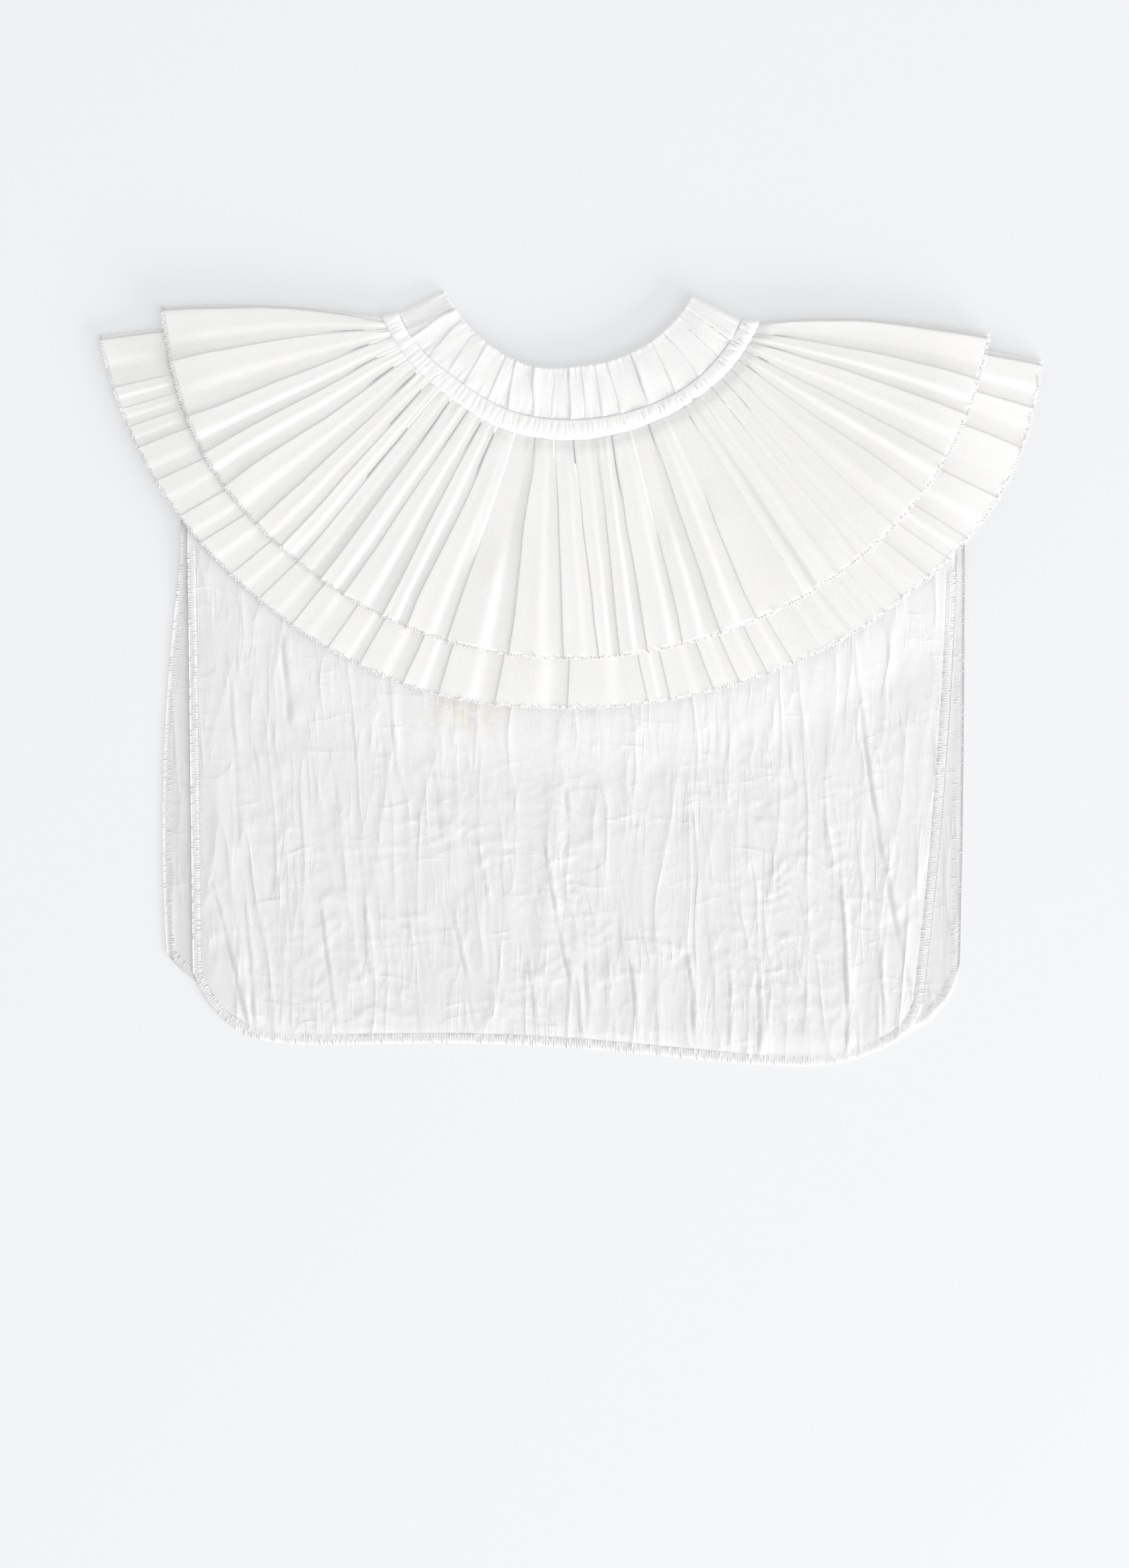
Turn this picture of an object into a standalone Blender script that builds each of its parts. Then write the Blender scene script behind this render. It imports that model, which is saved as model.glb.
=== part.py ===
"""Pleated collar: a white cotton dickey laid flat, front up, folded at both shoulders.

Two knife-pleated tiers, an elastic casing and a stand band are closed rings of cloth, folded
flat at the shoulders, so each front half lies over its back half. A front and a back bib lie
between the halves and show below the tiers. Seen from above, all rings are parts of one fan.

Units are metres. X runs to the wearer's left, Y towards the neck, Z up. The origin is under the
middle of the whole collar, on the surface that it lies on. Tables are in millimetres and degrees;
fan angles are measured at the fan's centre from the -Y direction, positive towards +X.
"""

import math
from collections import namedtuple

import bmesh
import bpy
from mathutils import Vector

MM = 0.001

# Cloth and seams
CLOTH = 1.0 * MM
BAND_WALL = 1.5 * MM
CASING_WALL = 3.0 * MM
SEAM_GAP = 0.3 * MM
LAYER = CLOTH + SEAM_GAP

# The fan that the rings lie on
FAN_X = 1.9 * MM
FAN_Y = 240.6 * MM

RingRow = namedtuple("RingRow", "angle band_top neck_seam casing_edge upper_hem lower_hem")
RINGS = (
    RingRow(-80, 77.3, 105.8, 115.2, 232.0, 268.6),
    RingRow(-60, 74.5, 103.9, 112.9, 236.0, 266.5),
    RingRow(-40, 72.2, 98.9, 109.3, 233.0, 262.9),
    RingRow(-20, 70.6, 98.4, 109.3, 231.3, 261.1),
    RingRow(0, 66.8, 96.8, 108.3, 229.6, 256.8),
    RingRow(20, 66.4, 97.5, 107.3, 230.3, 259.6),
    RingRow(40, 67.5, 100.4, 109.1, 234.6, 266.8),
    RingRow(60, 69.6, 101.8, 111.4, 237.9, 274.0),
    RingRow(80, 72.0, 102.4, 111.2, 235.4, 266.0),
)

# Folded edge at a shoulder: its fan angles at the ring's inner and outer edge, how far it bows
# out between them, and how far in from it the cloth has turned level, at the inner and outer edge
Shoulder = namedtuple("Shoulder", "inner_angle outer_angle bow inner_turn outer_turn")

# Upper tier, one row a pleat: fan angles of its fold at the neck and at the hem, its height at the
# hem, and the share of the way down at which it starts to rise
Pleat = namedtuple("Pleat", "neck hem height start")
UPPER_PLEATS = (
    Pleat(-65.3, -73.9, 2.2, 0.0),
    Pleat(-62.8, -66.1, 2.6, 0.0),
    Pleat(-59.4, -60.6, 2.6, 0.0),
    Pleat(-55.5, -55.3, 2.8, 0.0),
    Pleat(-50.6, -48.8, 2.4, 0.0),
    Pleat(-46.4, -44.2, 2.2, 0.0),
    Pleat(-42.6, -41.1, 1.6, 0.0),
    Pleat(-38.2, -37.2, 2.6, 0.0),
    Pleat(-32.2, -33.5, 2.2, 0.0),
    Pleat(-27.2, -27.4, 2.6, 0.0),
    Pleat(-22.5, -23.7, 2.4, 0.0),
    Pleat(-17.0, -17.8, 2.2, 0.45),
    Pleat(-11.0, -9.1, 2.8, 0.0),
    Pleat(-5.6, -1.4, 2.6, 0.0),
    Pleat(0.0, 3.5, 2.0, 0.0),
    Pleat(7.0, 6.4, 2.0, 0.0),
    Pleat(11.6, 10.2, 2.2, 0.0),
    Pleat(17.4, 15.2, 2.0, 0.35),
    Pleat(23.0, 20.7, 2.6, 0.0),
    Pleat(28.6, 26.1, 2.2, 0.3),
    Pleat(34.6, 33.3, 2.4, 0.0),
    Pleat(39.4, 37.3, 2.4, 0.0),
    Pleat(43.8, 41.1, 1.8, 0.0),
    Pleat(47.6, 44.2, 1.8, 0.0),
    Pleat(51.4, 48.6, 2.2, 0.0),
    Pleat(54.8, 54.5, 2.8, 0.0),
    Pleat(57.9, 60.3, 2.6, 0.0),
    Pleat(60.6, 66.6, 2.6, 0.0),
    Pleat(63.0, 71.5, 2.0, 0.0),
)

# Lower tier, one row a pleat: the fan angle and the height of its fold at the hem
LowerPleat = namedtuple("LowerPleat", "hem height")
LOWER_PLEATS = (
    LowerPleat(-76.6, 0.9),
    LowerPleat(-72.9, 1.7),
    LowerPleat(-70.2, 1.2),
    LowerPleat(-67.8, 1.2),
    LowerPleat(-65.1, 1.8),
    LowerPleat(-60.6, 2.0),
    LowerPleat(-55.5, 2.0),
    LowerPleat(-51.5, 1.8),
    LowerPleat(-46.2, 1.6),
    LowerPleat(-41.7, 1.6),
    LowerPleat(-36.6, 2.0),
    LowerPleat(-31.5, 1.6),
    LowerPleat(-27.1, 1.6),
    LowerPleat(-21.4, 2.0),
    LowerPleat(-16.8, 2.0),
    LowerPleat(-9.9, 2.0),
    LowerPleat(-0.9, 2.0),
    LowerPleat(9.2, 1.6),
    LowerPleat(11.9, 1.6),
    LowerPleat(17.5, 1.8),
    LowerPleat(20.8, 1.8),
    LowerPleat(24.3, 1.6),
    LowerPleat(27.7, 1.6),
    LowerPleat(31.6, 1.8),
    LowerPleat(34.2, 1.6),
    LowerPleat(37.6, 1.8),
    LowerPleat(40.2, 1.4),
    LowerPleat(42.9, 1.6),
    LowerPleat(47.0, 1.8),
    LowerPleat(50.0, 1.4),
    LowerPleat(53.2, 1.8),
    LowerPleat(59.2, 2.0),
    LowerPleat(65.6, 2.0),
    LowerPleat(70.5, 1.6),
)
LOWER_NECK_SHARE = 0.86

# From this fan angle on, a pleat's fold faces the right shoulder, before it the left one
PLEAT_TURN_ANGLE = 30.0
PLEAT_CREST_SHARE = 0.55
PLEAT_CREST_HEIGHT = 0.85
PLEAT_NECK_HEIGHT = 0.25
PLEAT_GROWTH = 1.25
PLEAT_START_FADE = 0.25
PLEAT_RISER = 1.2 * MM
HEM_SCALLOP = 0.7 * MM

# A shoulder's bow fades out over this fan angle
BOW_REACH = 22.0

# Stand band, one row a gather: fan angles of its trough at the top and at the seam, and its depth
Gather = namedtuple("Gather", "top seam depth")
BAND_GATHERS = (
    Gather(-62.5, -60.5, 1.2),
    Gather(-56.6, -52.5, 0.9),
    Gather(-48.7, -45.0, 0.9),
    Gather(-41.7, -38.4, 0.9),
    Gather(-31.6, -29.4, 0.8),
    Gather(-27.2, -22.0, 1.3),
    Gather(-18.3, -13.4, 1.3),
    Gather(-9.0, -7.4, 0.6),
    Gather(-2.6, -1.4, 1.3),
    Gather(3.4, 3.6, 0.8),
    Gather(10.0, 9.4, 0.9),
    Gather(15.4, 15.6, 0.9),
    Gather(27.3, 25.0, 1.3),
    Gather(38.6, 34.6, 0.9),
    Gather(46.0, 43.4, 0.9),
    Gather(54.4, 52.6, 0.9),
    Gather(61.0, 58.6, 1.2),
)
BAND_SWELL = 0.35
BAND_SWELL_SHARES = (0.3, 0.7)

# Casing gathers: their number on the front, the fan angle kept clear of the shoulders, their
# height, and how uneven they are in place and height, each as an amount and a turn a gather
CASING_GATHERS = 36
CASING_CLEAR = 3.5
CASING_RIPPLE = 0.35 * MM
CASING_SHIFT = (0.28, 2.3)
CASING_VARIATION = (0.4, 1.1)
CASING_CROWN = 0.7 * MM

# Bibs: edges in the collar's own X and Y, and the gap left to the tiers' folded shoulders
EdgeRow = namedtuple("EdgeRow", "x bottom")
FRONT_BOTTOM = (
    EdgeRow(-210.4, -163.5),
    EdgeRow(-206.0, -171.5),
    EdgeRow(-198.0, -182.0),
    EdgeRow(-187.0, -192.5),
    EdgeRow(-174.0, -200.0),
    EdgeRow(-150.0, -203.6),
    EdgeRow(-60.0, -203.0),
    EdgeRow(0.0, -205.6),
    EdgeRow(60.0, -211.0),
    EdgeRow(105.0, -215.0),
    EdgeRow(140.0, -215.4),
    EdgeRow(165.0, -209.6),
    EdgeRow(183.0, -200.6),
    EdgeRow(192.0, -190.5),
    EdgeRow(196.0, -180.5),
)
BACK_BOTTOM = (
    EdgeRow(-225.0, -153.0),
    EdgeRow(-218.0, -161.0),
    EdgeRow(-209.0, -168.0),
    EdgeRow(-197.0, -178.0),
    EdgeRow(-175.0, -189.0),
    EdgeRow(-100.0, -192.0),
    EdgeRow(0.0, -194.0),
    EdgeRow(100.0, -198.0),
    EdgeRow(180.0, -199.0),
    EdgeRow(197.0, -192.5),
    EdgeRow(207.0, -182.5),
    EdgeRow(214.0, -171.0),
    EdgeRow(216.5, -160.0),
)
BibSides = namedtuple("BibSides", "left_top right_top left_bow right_bow")
FRONT_SIDES = BibSides(-213.2, 214.5, 0.0, 2.6)
BACK_SIDES = BibSides(-217.0, 219.0, 5.5, 0.8)
SHOULDER_INSET = 8.0 * MM
BIB_NECK_GAP = 0.8 * MM
BIB_HIDDEN_ROW = -3.0 * MM

# Front bib creases: X at the lower hem and at the bib's bottom, the stretch of the way down
# where the crease stands, and its height
Crease = namedtuple("Crease", "hem_x bottom_x start end height")
BIB_CREASES = (
    Crease(-204.0, -186.0, 0.4, 1.0, 1.2),
    Crease(-190.0, -172.0, 0.4, 1.0, 1.0),
    Crease(-160.0, -150.0, 0.0, 0.35, 1.6),
    Crease(-143.0, -129.0, 0.5, 1.0, 1.0),
    Crease(-120.0, -110.0, 0.5, 0.9, 0.8),
    Crease(-101.0, -92.0, 0.0, 0.4, 1.2),
    Crease(-75.0, -54.0, 0.2, 1.0, 1.0),
    Crease(-20.0, 1.7, 0.35, 1.0, 1.1),
    Crease(-6.0, 10.0, 0.4, 1.0, 0.9),
    Crease(18.0, 36.4, 0.4, 1.0, 1.0),
    Crease(55.0, 69.0, 0.6, 1.0, 0.9),
    Crease(84.0, 88.4, 0.6, 1.0, 0.9),
    Crease(101.0, 105.7, 0.6, 1.0, 0.9),
    Crease(142.0, 152.0, 0.35, 1.0, 1.4),
    Crease(156.0, 189.0, 0.0, 1.0, 1.9),
)
CREASE_HALF_WIDTH = 2.6 * MM
CREASE_FADE = 0.12

# Heights of the middle of each wall where it lies fully stacked
BACK_UPPER_Z = CLOTH / 2
BACK_LOWER_Z = BACK_UPPER_Z + LAYER
BACK_BIB_Z = BACK_LOWER_Z + LAYER
FRONT_BIB_Z = BACK_BIB_Z + LAYER
FRONT_LOWER_Z = FRONT_BIB_Z + LAYER
FRONT_UPPER_NECK_Z = 7.5 * MM
FRONT_UPPER_HEM_Z = 9.1 * MM
WING_SINK = 2.2 * MM
WING_HALF_WIDTH = 222.0 * MM
WING_SLOPE = 26.0 * MM
SETTLE_START = 2.0 * MM
SETTLE_END = 15.0 * MM
FRONT_LAG = 1.5 * MM
OVERHANG_START = 1.0 * MM
OVERHANG_SLOPE = 9.0 * MM
CASING_FRONT_Z = 6.2 * MM
BAND_TOP_Z = 3.7 * MM
BAND_SEAM_Z = 5.9 * MM

# Rows of the rings, as shares of the way out. The lower tier has two hidden rows, and the rest at
# distances from the upper hem.
UPPER_ROWS = (0.0, 0.14, 0.32, 0.52, 0.72, 0.88, 1.0)
LOWER_HIDDEN_ROW = 0.6
LOWER_ROWS = (-3 * MM, 2 * MM, 7 * MM, 12 * MM)
BAND_ROWS = (0.0, 0.25, 0.5, 0.75, 1.0)
CASING_ROWS = (0.0, 0.3, 0.7, 1.0)

# Mesh steps
TURN_STEPS = 5
BACK_STEPS = 22
BACK_INNER_INSET = 5.0 * MM
BACK_OUTER_INSET = 7.0 * MM
SETTLE_STEPS = 3
BACK_BIB_ROWS = 3
FRONT_BIB_ROWS = 6
LAST_FILL_SHARE = 0.9
SHARP_ANGLE = 50.0
BIB_STEP = 14.0 * MM
CORNER_STEP = 7.5 * MM
CORNER_X = 172.0 * MM

# One cloth ring: its inner and outer edge in the table above, the shares of a half gap that keep
# them clear of their neighbours, and its two folded shoulders
Ring = namedtuple("Ring", "name inner outer inner_gap outer_gap left right wall")
HALF_GAP = SEAM_GAP / 2
UPPER_TIER = Ring("upper_tier", "casing_edge", "upper_hem", HALF_GAP, 0.0,
                  Shoulder(-69.3, -81.6, 3.6, 3.2, 5.0),
                  Shoulder(67.6, 77.9, 5.0, 3.2, 5.0), CLOTH)
LOWER_TIER = Ring("lower_tier", "casing_edge", "lower_hem", HALF_GAP, 0.0,
                  Shoulder(-66.4, -79.3, 4.0, 2.2, 3.2),
                  Shoulder(64.9, 76.2, 5.0, 2.2, 3.2), CLOTH)
CASING = Ring("neck_casing", "neck_seam", "casing_edge", HALF_GAP, -HALF_GAP,
              Shoulder(-69.0, -70.0, 0.2, 4.0, 4.0),
              Shoulder(65.9, 67.6, 0.2, 4.0, 4.0), CASING_WALL)
BAND = Ring("neck_band", "band_top", "neck_seam", 0.0, -HALF_GAP,
            Shoulder(-70.6, -69.0, 0.4, 3.0, 3.4),
            Shoulder(67.4, 65.9, 0.4, 3.0, 3.4), BAND_WALL)

# A column of a sheet: fan angles at its two edges, how far it rises, the share of the way out at
# which it starts to, and how far its hem stands out
Column = namedtuple("Column", "inner_angle outer_angle rise start scallop")


def smooth_step(low, high, value):
    """Return 0 below low, 1 above high and a smooth share between them."""
    share = min(1.0, max(0.0, (value - low) / (high - low)))
    return share * share * (3.0 - 2.0 * share)


def curve_through(keys, values, key):
    """Read a smooth curve through the points (keys, values) at one key."""
    last = len(keys) - 1
    if key <= keys[0]:
        return values[0]
    if key >= keys[last]:
        return values[last]
    at = max(i for i in range(last) if keys[i] <= key)
    step = keys[at + 1] - keys[at]
    share = (key - keys[at]) / step

    def slope(i):
        before, after = max(i - 1, 0), min(i + 1, last)
        return (values[after] - values[before]) / (keys[after] - keys[before])

    start, end = slope(at) * step, slope(at + 1) * step
    square, cube = share ** 2, share ** 3
    return ((2 * cube - 3 * square + 1) * values[at] + (cube - 2 * square + share) * start
            + (3 * square - 2 * cube) * values[at + 1] + (cube - square) * end)


def ring_radius(edge, angle):
    """Radius of a named edge of the fan at an angle."""
    angles = [row.angle for row in RINGS]
    return MM * curve_through(angles, [getattr(row, edge) for row in RINGS], angle)


def fan_point(angle, radius):
    """Place a point of the fan in the collar's X and Y."""
    turn = math.radians(angle)
    return Vector((FAN_X + radius * math.sin(turn), FAN_Y - radius * math.cos(turn)))


def fan_angle(point):
    """Fan angle of a point in X and Y."""
    return math.degrees(math.atan2(point.x - FAN_X, FAN_Y - point.y))


def beyond_edge(point, edge):
    """How far a point lies outside a named edge of the fan."""
    reach = (point - Vector((FAN_X, FAN_Y))).length
    return reach - ring_radius(edge, fan_angle(point))


def wing_sink(point):
    """How far the front tiers sink beside the bibs, where nothing lies between their halves."""
    return WING_SINK * smooth_step(0.0, WING_SLOPE, abs(point.x) - WING_HALF_WIDTH)


def back_tier_height(ring, point):
    """Height of a back half: the upper tier lies flat, the lower one on it and then beside it."""
    if ring is UPPER_TIER:
        return BACK_UPPER_Z
    settled = smooth_step(SETTLE_START, SETTLE_END, beyond_edge(point, "upper_hem"))
    return BACK_LOWER_Z + (BACK_UPPER_Z - BACK_LOWER_Z) * settled


def front_tier_height(ring, point, share):
    """Height of a front half at the bottom of its pleats."""
    if ring is UPPER_TIER:
        level = FRONT_UPPER_NECK_Z + (FRONT_UPPER_HEM_Z - FRONT_UPPER_NECK_Z) * share
    else:
        level = FRONT_LOWER_Z
    return level - wing_sink(point)


def pleat_growth(share, start):
    """Share of a pleat's height that stands at a share of the way from neck to hem."""
    grown = PLEAT_NECK_HEIGHT + (1.0 - PLEAT_NECK_HEIGHT) * min(1.0, share * PLEAT_GROWTH)
    if start > 0.0:
        grown *= smooth_step(start, start + PLEAT_START_FADE, share)
    return grown


def pleat_columns(pleats):
    """Turn folds into sheet columns: a riser at each fold and a sloping face behind it."""
    columns = []
    for at, pleat in enumerate(pleats):
        neck_half = math.degrees(PLEAT_RISER * 0.25 / ring_radius("casing_edge", pleat.neck))
        hem_half = math.degrees(PLEAT_RISER * 0.5 / ring_radius("upper_hem", pleat.hem))
        height = pleat.height * MM
        valley = (0.0, pleat.start, -HEM_SCALLOP)
        edge = (height, pleat.start, HEM_SCALLOP)
        faces_right = pleat.hem > PLEAT_TURN_ANGLE
        first, second = (edge, valley) if faces_right else (valley, edge)
        columns.append(Column(pleat.neck - neck_half, pleat.hem - hem_half, *first))
        columns.append(Column(pleat.neck + neck_half, pleat.hem + hem_half, *second))
        if at + 1 == len(pleats):
            break
        after = pleats[at + 1]
        owner, share = pleat, PLEAT_CREST_SHARE
        if after.hem > PLEAT_TURN_ANGLE:
            owner, share = after, 1.0 - PLEAT_CREST_SHARE
        columns.append(Column(pleat.neck + (after.neck - pleat.neck) * share,
                              pleat.hem + (after.hem - pleat.hem) * share,
                              owner.height * MM * PLEAT_CREST_HEIGHT, owner.start, 0.0))
    return columns


def lower_pleats():
    """Give the lower tier's folds their angles at the neck."""
    return [Pleat(row.hem * LOWER_NECK_SHARE, row.hem, row.height, 0.0) for row in LOWER_PLEATS]


def bow_share(ring, angle, share):
    """Share of a shoulder's bow that a column near it takes."""
    shoulder = ring.left if angle < 0 else ring.right
    near = smooth_step(BOW_REACH, 0.0, abs(shoulder.outer_angle - angle))
    return shoulder.bow * MM * 4.0 * share * (1.0 - share) * near


def sheet_point(ring, column, share):
    """Plan point of a column at a share of the way from the ring's inner to its outer edge."""
    inner_radius = ring_radius(ring.inner, column.inner_angle) + ring.inner_gap
    outer_radius = ring_radius(ring.outer, column.outer_angle) + ring.outer_gap + column.scallop
    point = fan_point(column.inner_angle, inner_radius).lerp(
        fan_point(column.outer_angle, outer_radius), share)
    point.y += bow_share(ring, column.outer_angle, share)
    return point


def turn_point(ring, shoulder, share, inward):
    """Plan point at a distance inward from a folded shoulder, and the direction out of it."""
    edge = Column(shoulder.inner_angle, shoulder.outer_angle, 0.0, 0.0, 0.0)
    point = sheet_point(ring, edge, share)
    turn = math.radians(fan_angle(point))
    outward = Vector((math.cos(turn), math.sin(turn))) * math.copysign(1.0, turn)
    return point - outward * inward, outward


def turn_sections(ring, shoulder, share, front_height, back_height):
    """Middle points and normals round a folded shoulder, from the front half to the back half."""
    depth = MM * (shoulder.inner_turn + (shoulder.outer_turn - shoulder.inner_turn) * share)
    level, _ = turn_point(ring, shoulder, share, depth)
    top, bottom = front_height(level, share), back_height(level)
    centre, half = (top + bottom) / 2, (top - bottom) / 2
    sections = []
    for step in range(TURN_STEPS + 1):
        angle = math.pi / 2 - math.pi * step / TURN_STEPS
        point, outward = turn_point(ring, shoulder, share, depth * (1.0 - math.cos(angle)))
        middle = Vector((point.x, point.y, centre + half * math.sin(angle)))
        side, up = math.cos(angle) / depth, math.sin(angle) / half
        normal = Vector((outward.x * side, outward.y * side, up)).normalized()
        sections.append((middle, normal))
    return sections


def back_sections(ring, share, back_height):
    """Middle points and normals of a ring's back half, from the left shoulder to the right."""
    inner_in = math.degrees(BACK_INNER_INSET / ring_radius(ring.inner, 0))
    outer_in = math.degrees(BACK_OUTER_INSET / ring_radius(ring.outer, 0))
    sections = []
    for step in range(BACK_STEPS + 1):
        way = step / BACK_STEPS
        inner = (ring.left.inner_angle + inner_in) * (1 - way) + (
            ring.right.inner_angle - inner_in) * way
        outer = (ring.left.outer_angle + outer_in) * (1 - way) + (
            ring.right.outer_angle - outer_in) * way
        point = sheet_point(ring, Column(inner, outer, 0.0, 0.0, 0.0), share)
        sections.append((Vector((point.x, point.y, back_height(point))), Vector((0, 0, -1))))
    return sections


def add_wall(name, rows, wall, closed):
    """Make one closed wall from rows of (middle point, normal), and link it as an object.

    The first and last row are its two edges. A closed wall runs round a ring, and an open one
    gets two more edges at the ends of its rows.
    """
    mesh = bmesh.new()
    outer = [[mesh.verts.new(mid + normal * wall / 2) for mid, normal in row] for row in rows]
    inner = [[mesh.verts.new(mid - normal * wall / 2) for mid, normal in row] for row in rows]
    count = len(rows[0])
    spans = count if closed else count - 1
    for k in range(len(rows) - 1):
        for j in range(spans):
            after = (j + 1) % count
            mesh.faces.new((outer[k][j], outer[k][after], outer[k + 1][after], outer[k + 1][j]))
            mesh.faces.new((inner[k][j], inner[k + 1][j], inner[k + 1][after], inner[k][after]))
    for k in (0, len(rows) - 1):
        for j in range(spans):
            after = (j + 1) % count
            mesh.faces.new((outer[k][j], inner[k][j], inner[k][after], outer[k][after]))
    if not closed:
        for j in (0, count - 1):
            for k in range(len(rows) - 1):
                mesh.faces.new((outer[k][j], outer[k + 1][j], inner[k + 1][j], inner[k][j]))
    bmesh.ops.recalc_face_normals(mesh, faces=mesh.faces)
    data = bpy.data.meshes.new(name)
    mesh.to_mesh(data)
    mesh.free()
    data.shade_smooth()
    data.set_sharp_from_angle(angle=math.radians(SHARP_ANGLE))
    built = bpy.data.objects.new(name, data)
    bpy.context.scene.collection.objects.link(built)
    return built


def make_ring(ring, front_columns, shares, front_height, back_height):
    """Build a folded ring from its front columns, its two turned shoulders and its back half."""
    rows = []
    for at in range(len(shares(front_columns[0]))):
        left_share = shares(Column(0, ring.left.outer_angle, 0, 0, 0))[at]
        right_share = shares(Column(0, ring.right.outer_angle, 0, 0, 0))[at]
        row = []
        for column in front_columns:
            share = shares(column)[at]
            point = sheet_point(ring, column, share)
            height = front_height(point, share) + column.rise * pleat_growth(share, column.start)
            row.append((Vector((point.x, point.y, height)), Vector((0, 0, 1))))
        row += turn_sections(ring, ring.right, right_share, front_height, back_height)
        middle = shares(Column(0, 0, 0, 0, 0))[at]
        row += list(reversed(back_sections(ring, middle, back_height)))
        row += list(reversed(turn_sections(ring, ring.left, left_share, front_height,
                                           back_height)))
        rows.append(row)
    return add_wall(ring.name, rows, ring.wall, closed=True)


def upper_shares(column):
    """Shares of the way from neck to hem at which the upper tier has its rows."""
    return UPPER_ROWS


def lower_shares(column):
    """Shares at which the lower tier has its rows: two hidden, then from the upper hem on."""
    inner = ring_radius("casing_edge", column.outer_angle)
    depth = ring_radius("lower_hem", column.outer_angle) - inner
    hem = (ring_radius("upper_hem", column.outer_angle) - inner) / depth
    shown = [hem + distance / depth for distance in LOWER_ROWS]
    return (0.0, hem * LOWER_HIDDEN_ROW, *shown, 1.0)


def band_columns():
    """Turn the band's gathers into columns: a trough at each and two points on the swell after."""
    columns = []
    for at, gather in enumerate(BAND_GATHERS):
        columns.append(Column(gather.top, gather.seam, -gather.depth * MM, 0.0, 0.0))
        if at + 1 == len(BAND_GATHERS):
            break
        after = BAND_GATHERS[at + 1]
        for share in BAND_SWELL_SHARES:
            columns.append(Column(gather.top + (after.top - gather.top) * share,
                                  gather.seam + (after.seam - gather.seam) * share,
                                  gather.depth * MM * BAND_SWELL, 0.0, 0.0))
    return columns


def casing_columns():
    """Columns of the casing's fine gathers, crest and trough in turn, a little uneven."""
    first = CASING.left.inner_angle + CASING_CLEAR
    last = CASING.right.inner_angle - CASING_CLEAR
    shift, shift_turn = CASING_SHIFT
    variation, variation_turn = CASING_VARIATION
    step = (last - first) / (2 * CASING_GATHERS)
    columns = []
    for at in range(2 * CASING_GATHERS + 1):
        angle = first + step * (at + shift * math.sin(shift_turn * at))
        rise = CASING_RIPPLE if at % 2 else -CASING_RIPPLE
        rise *= 1.0 + variation * math.sin(variation_turn * at)
        columns.append(Column(angle, angle, rise, 0.0, 0.0))
    return columns


def make_tiers():
    """Build the two pleated tiers."""
    for ring, pleats, shares in ((UPPER_TIER, UPPER_PLEATS, upper_shares),
                                 (LOWER_TIER, lower_pleats(), lower_shares)):
        make_ring(ring, pleat_columns(pleats), shares,
                  lambda point, share, ring=ring: front_tier_height(ring, point, share),
                  lambda point, ring=ring: back_tier_height(ring, point))


def make_band():
    """Build the gathered stand band."""
    make_ring(BAND, band_columns(), lambda column: BAND_ROWS,
              lambda point, share: BAND_TOP_Z + (BAND_SEAM_Z - BAND_TOP_Z) * share,
              lambda point: BAND_WALL / 2)


def make_casing():
    """Build the elastic casing, crowned along its middle."""
    make_ring(CASING, casing_columns(), lambda column: CASING_ROWS,
              lambda point, share: CASING_FRONT_Z + CASING_CROWN * math.sin(math.pi * share),
              lambda point: CASING_WALL / 2)


def hem_y(x, beyond):
    """Y at an X of a line that lies a distance beyond the lower tier's hem."""
    angle = 0.0
    for _ in range(8):
        radius = ring_radius("lower_hem", angle) + beyond
        angle = math.degrees(math.asin((x - FAN_X) / radius))
    return FAN_Y - radius * math.cos(math.radians(angle))


def bib_top_y(x):
    """Y of a bib's top edge at an X: the neck's curve, or the folded shoulder beside it."""
    shoulder = LOWER_TIER.left if x < FAN_X else LOWER_TIER.right
    neck, _ = turn_point(LOWER_TIER, shoulder, 0.0, SHOULDER_INSET)
    wing, _ = turn_point(LOWER_TIER, shoulder, 1.0, SHOULDER_INSET)
    share = (x - neck.x) / (wing.x - neck.x)
    if share >= 0.0:
        return turn_point(LOWER_TIER, shoulder, share, SHOULDER_INSET)[0].y
    radius = ring_radius("casing_edge", 0.0) + BIB_NECK_GAP
    for _ in range(6):
        angle = math.degrees(math.asin((x - FAN_X) / radius))
        radius = ring_radius("casing_edge", angle) + BIB_NECK_GAP
    return min(neck.y, FAN_Y - radius * math.cos(math.radians(angle)))


def bib_height(point, lag):
    """Height of a bib's lower layer, level on the back tiers and settled below their hems."""
    beyond = beyond_edge(point, "lower_hem") - lag
    return BACK_BIB_Z + (CLOTH / 2 - BACK_BIB_Z) * smooth_step(SETTLE_START, SETTLE_END, beyond)


def back_bib_height(point):
    """Height of the back bib."""
    return bib_height(point, 0.0)


def bib_bottom_y(bottom, x):
    """Y of a bib's bottom edge at an X."""
    return MM * curve_through([row.x for row in bottom], [row.bottom for row in bottom], x / MM)


def front_bib_height(point):
    """Height of the front bib, on the back bib and lower where it hangs past that one's edge."""
    past = bib_bottom_y(BACK_BOTTOM, point.x) - OVERHANG_START - point.y
    return bib_height(point, FRONT_LAG) + LAYER * (1.0 - smooth_step(0.0, OVERHANG_SLOPE, past))


def bib_rows(hem_x, stops, rows_below, lag):
    """Y of a bib column's points from its top edge down, close together where the bib settles."""
    top = bib_top_y(hem_x)
    rows = [top, (top + hem_y(hem_x, 0.0)) / 2, hem_y(hem_x, BIB_HIDDEN_ROW)]
    for step in range(SETTLE_STEPS + 1):
        beyond = SETTLE_START + (SETTLE_END - SETTLE_START) * step / SETTLE_STEPS
        rows.append(hem_y(hem_x, beyond + lag))
    settled = rows[-1]
    for at in range(1, rows_below + 1):
        rows.append(settled + (stops[0] - settled) * at / rows_below)
    return rows + stops[1:]


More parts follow.
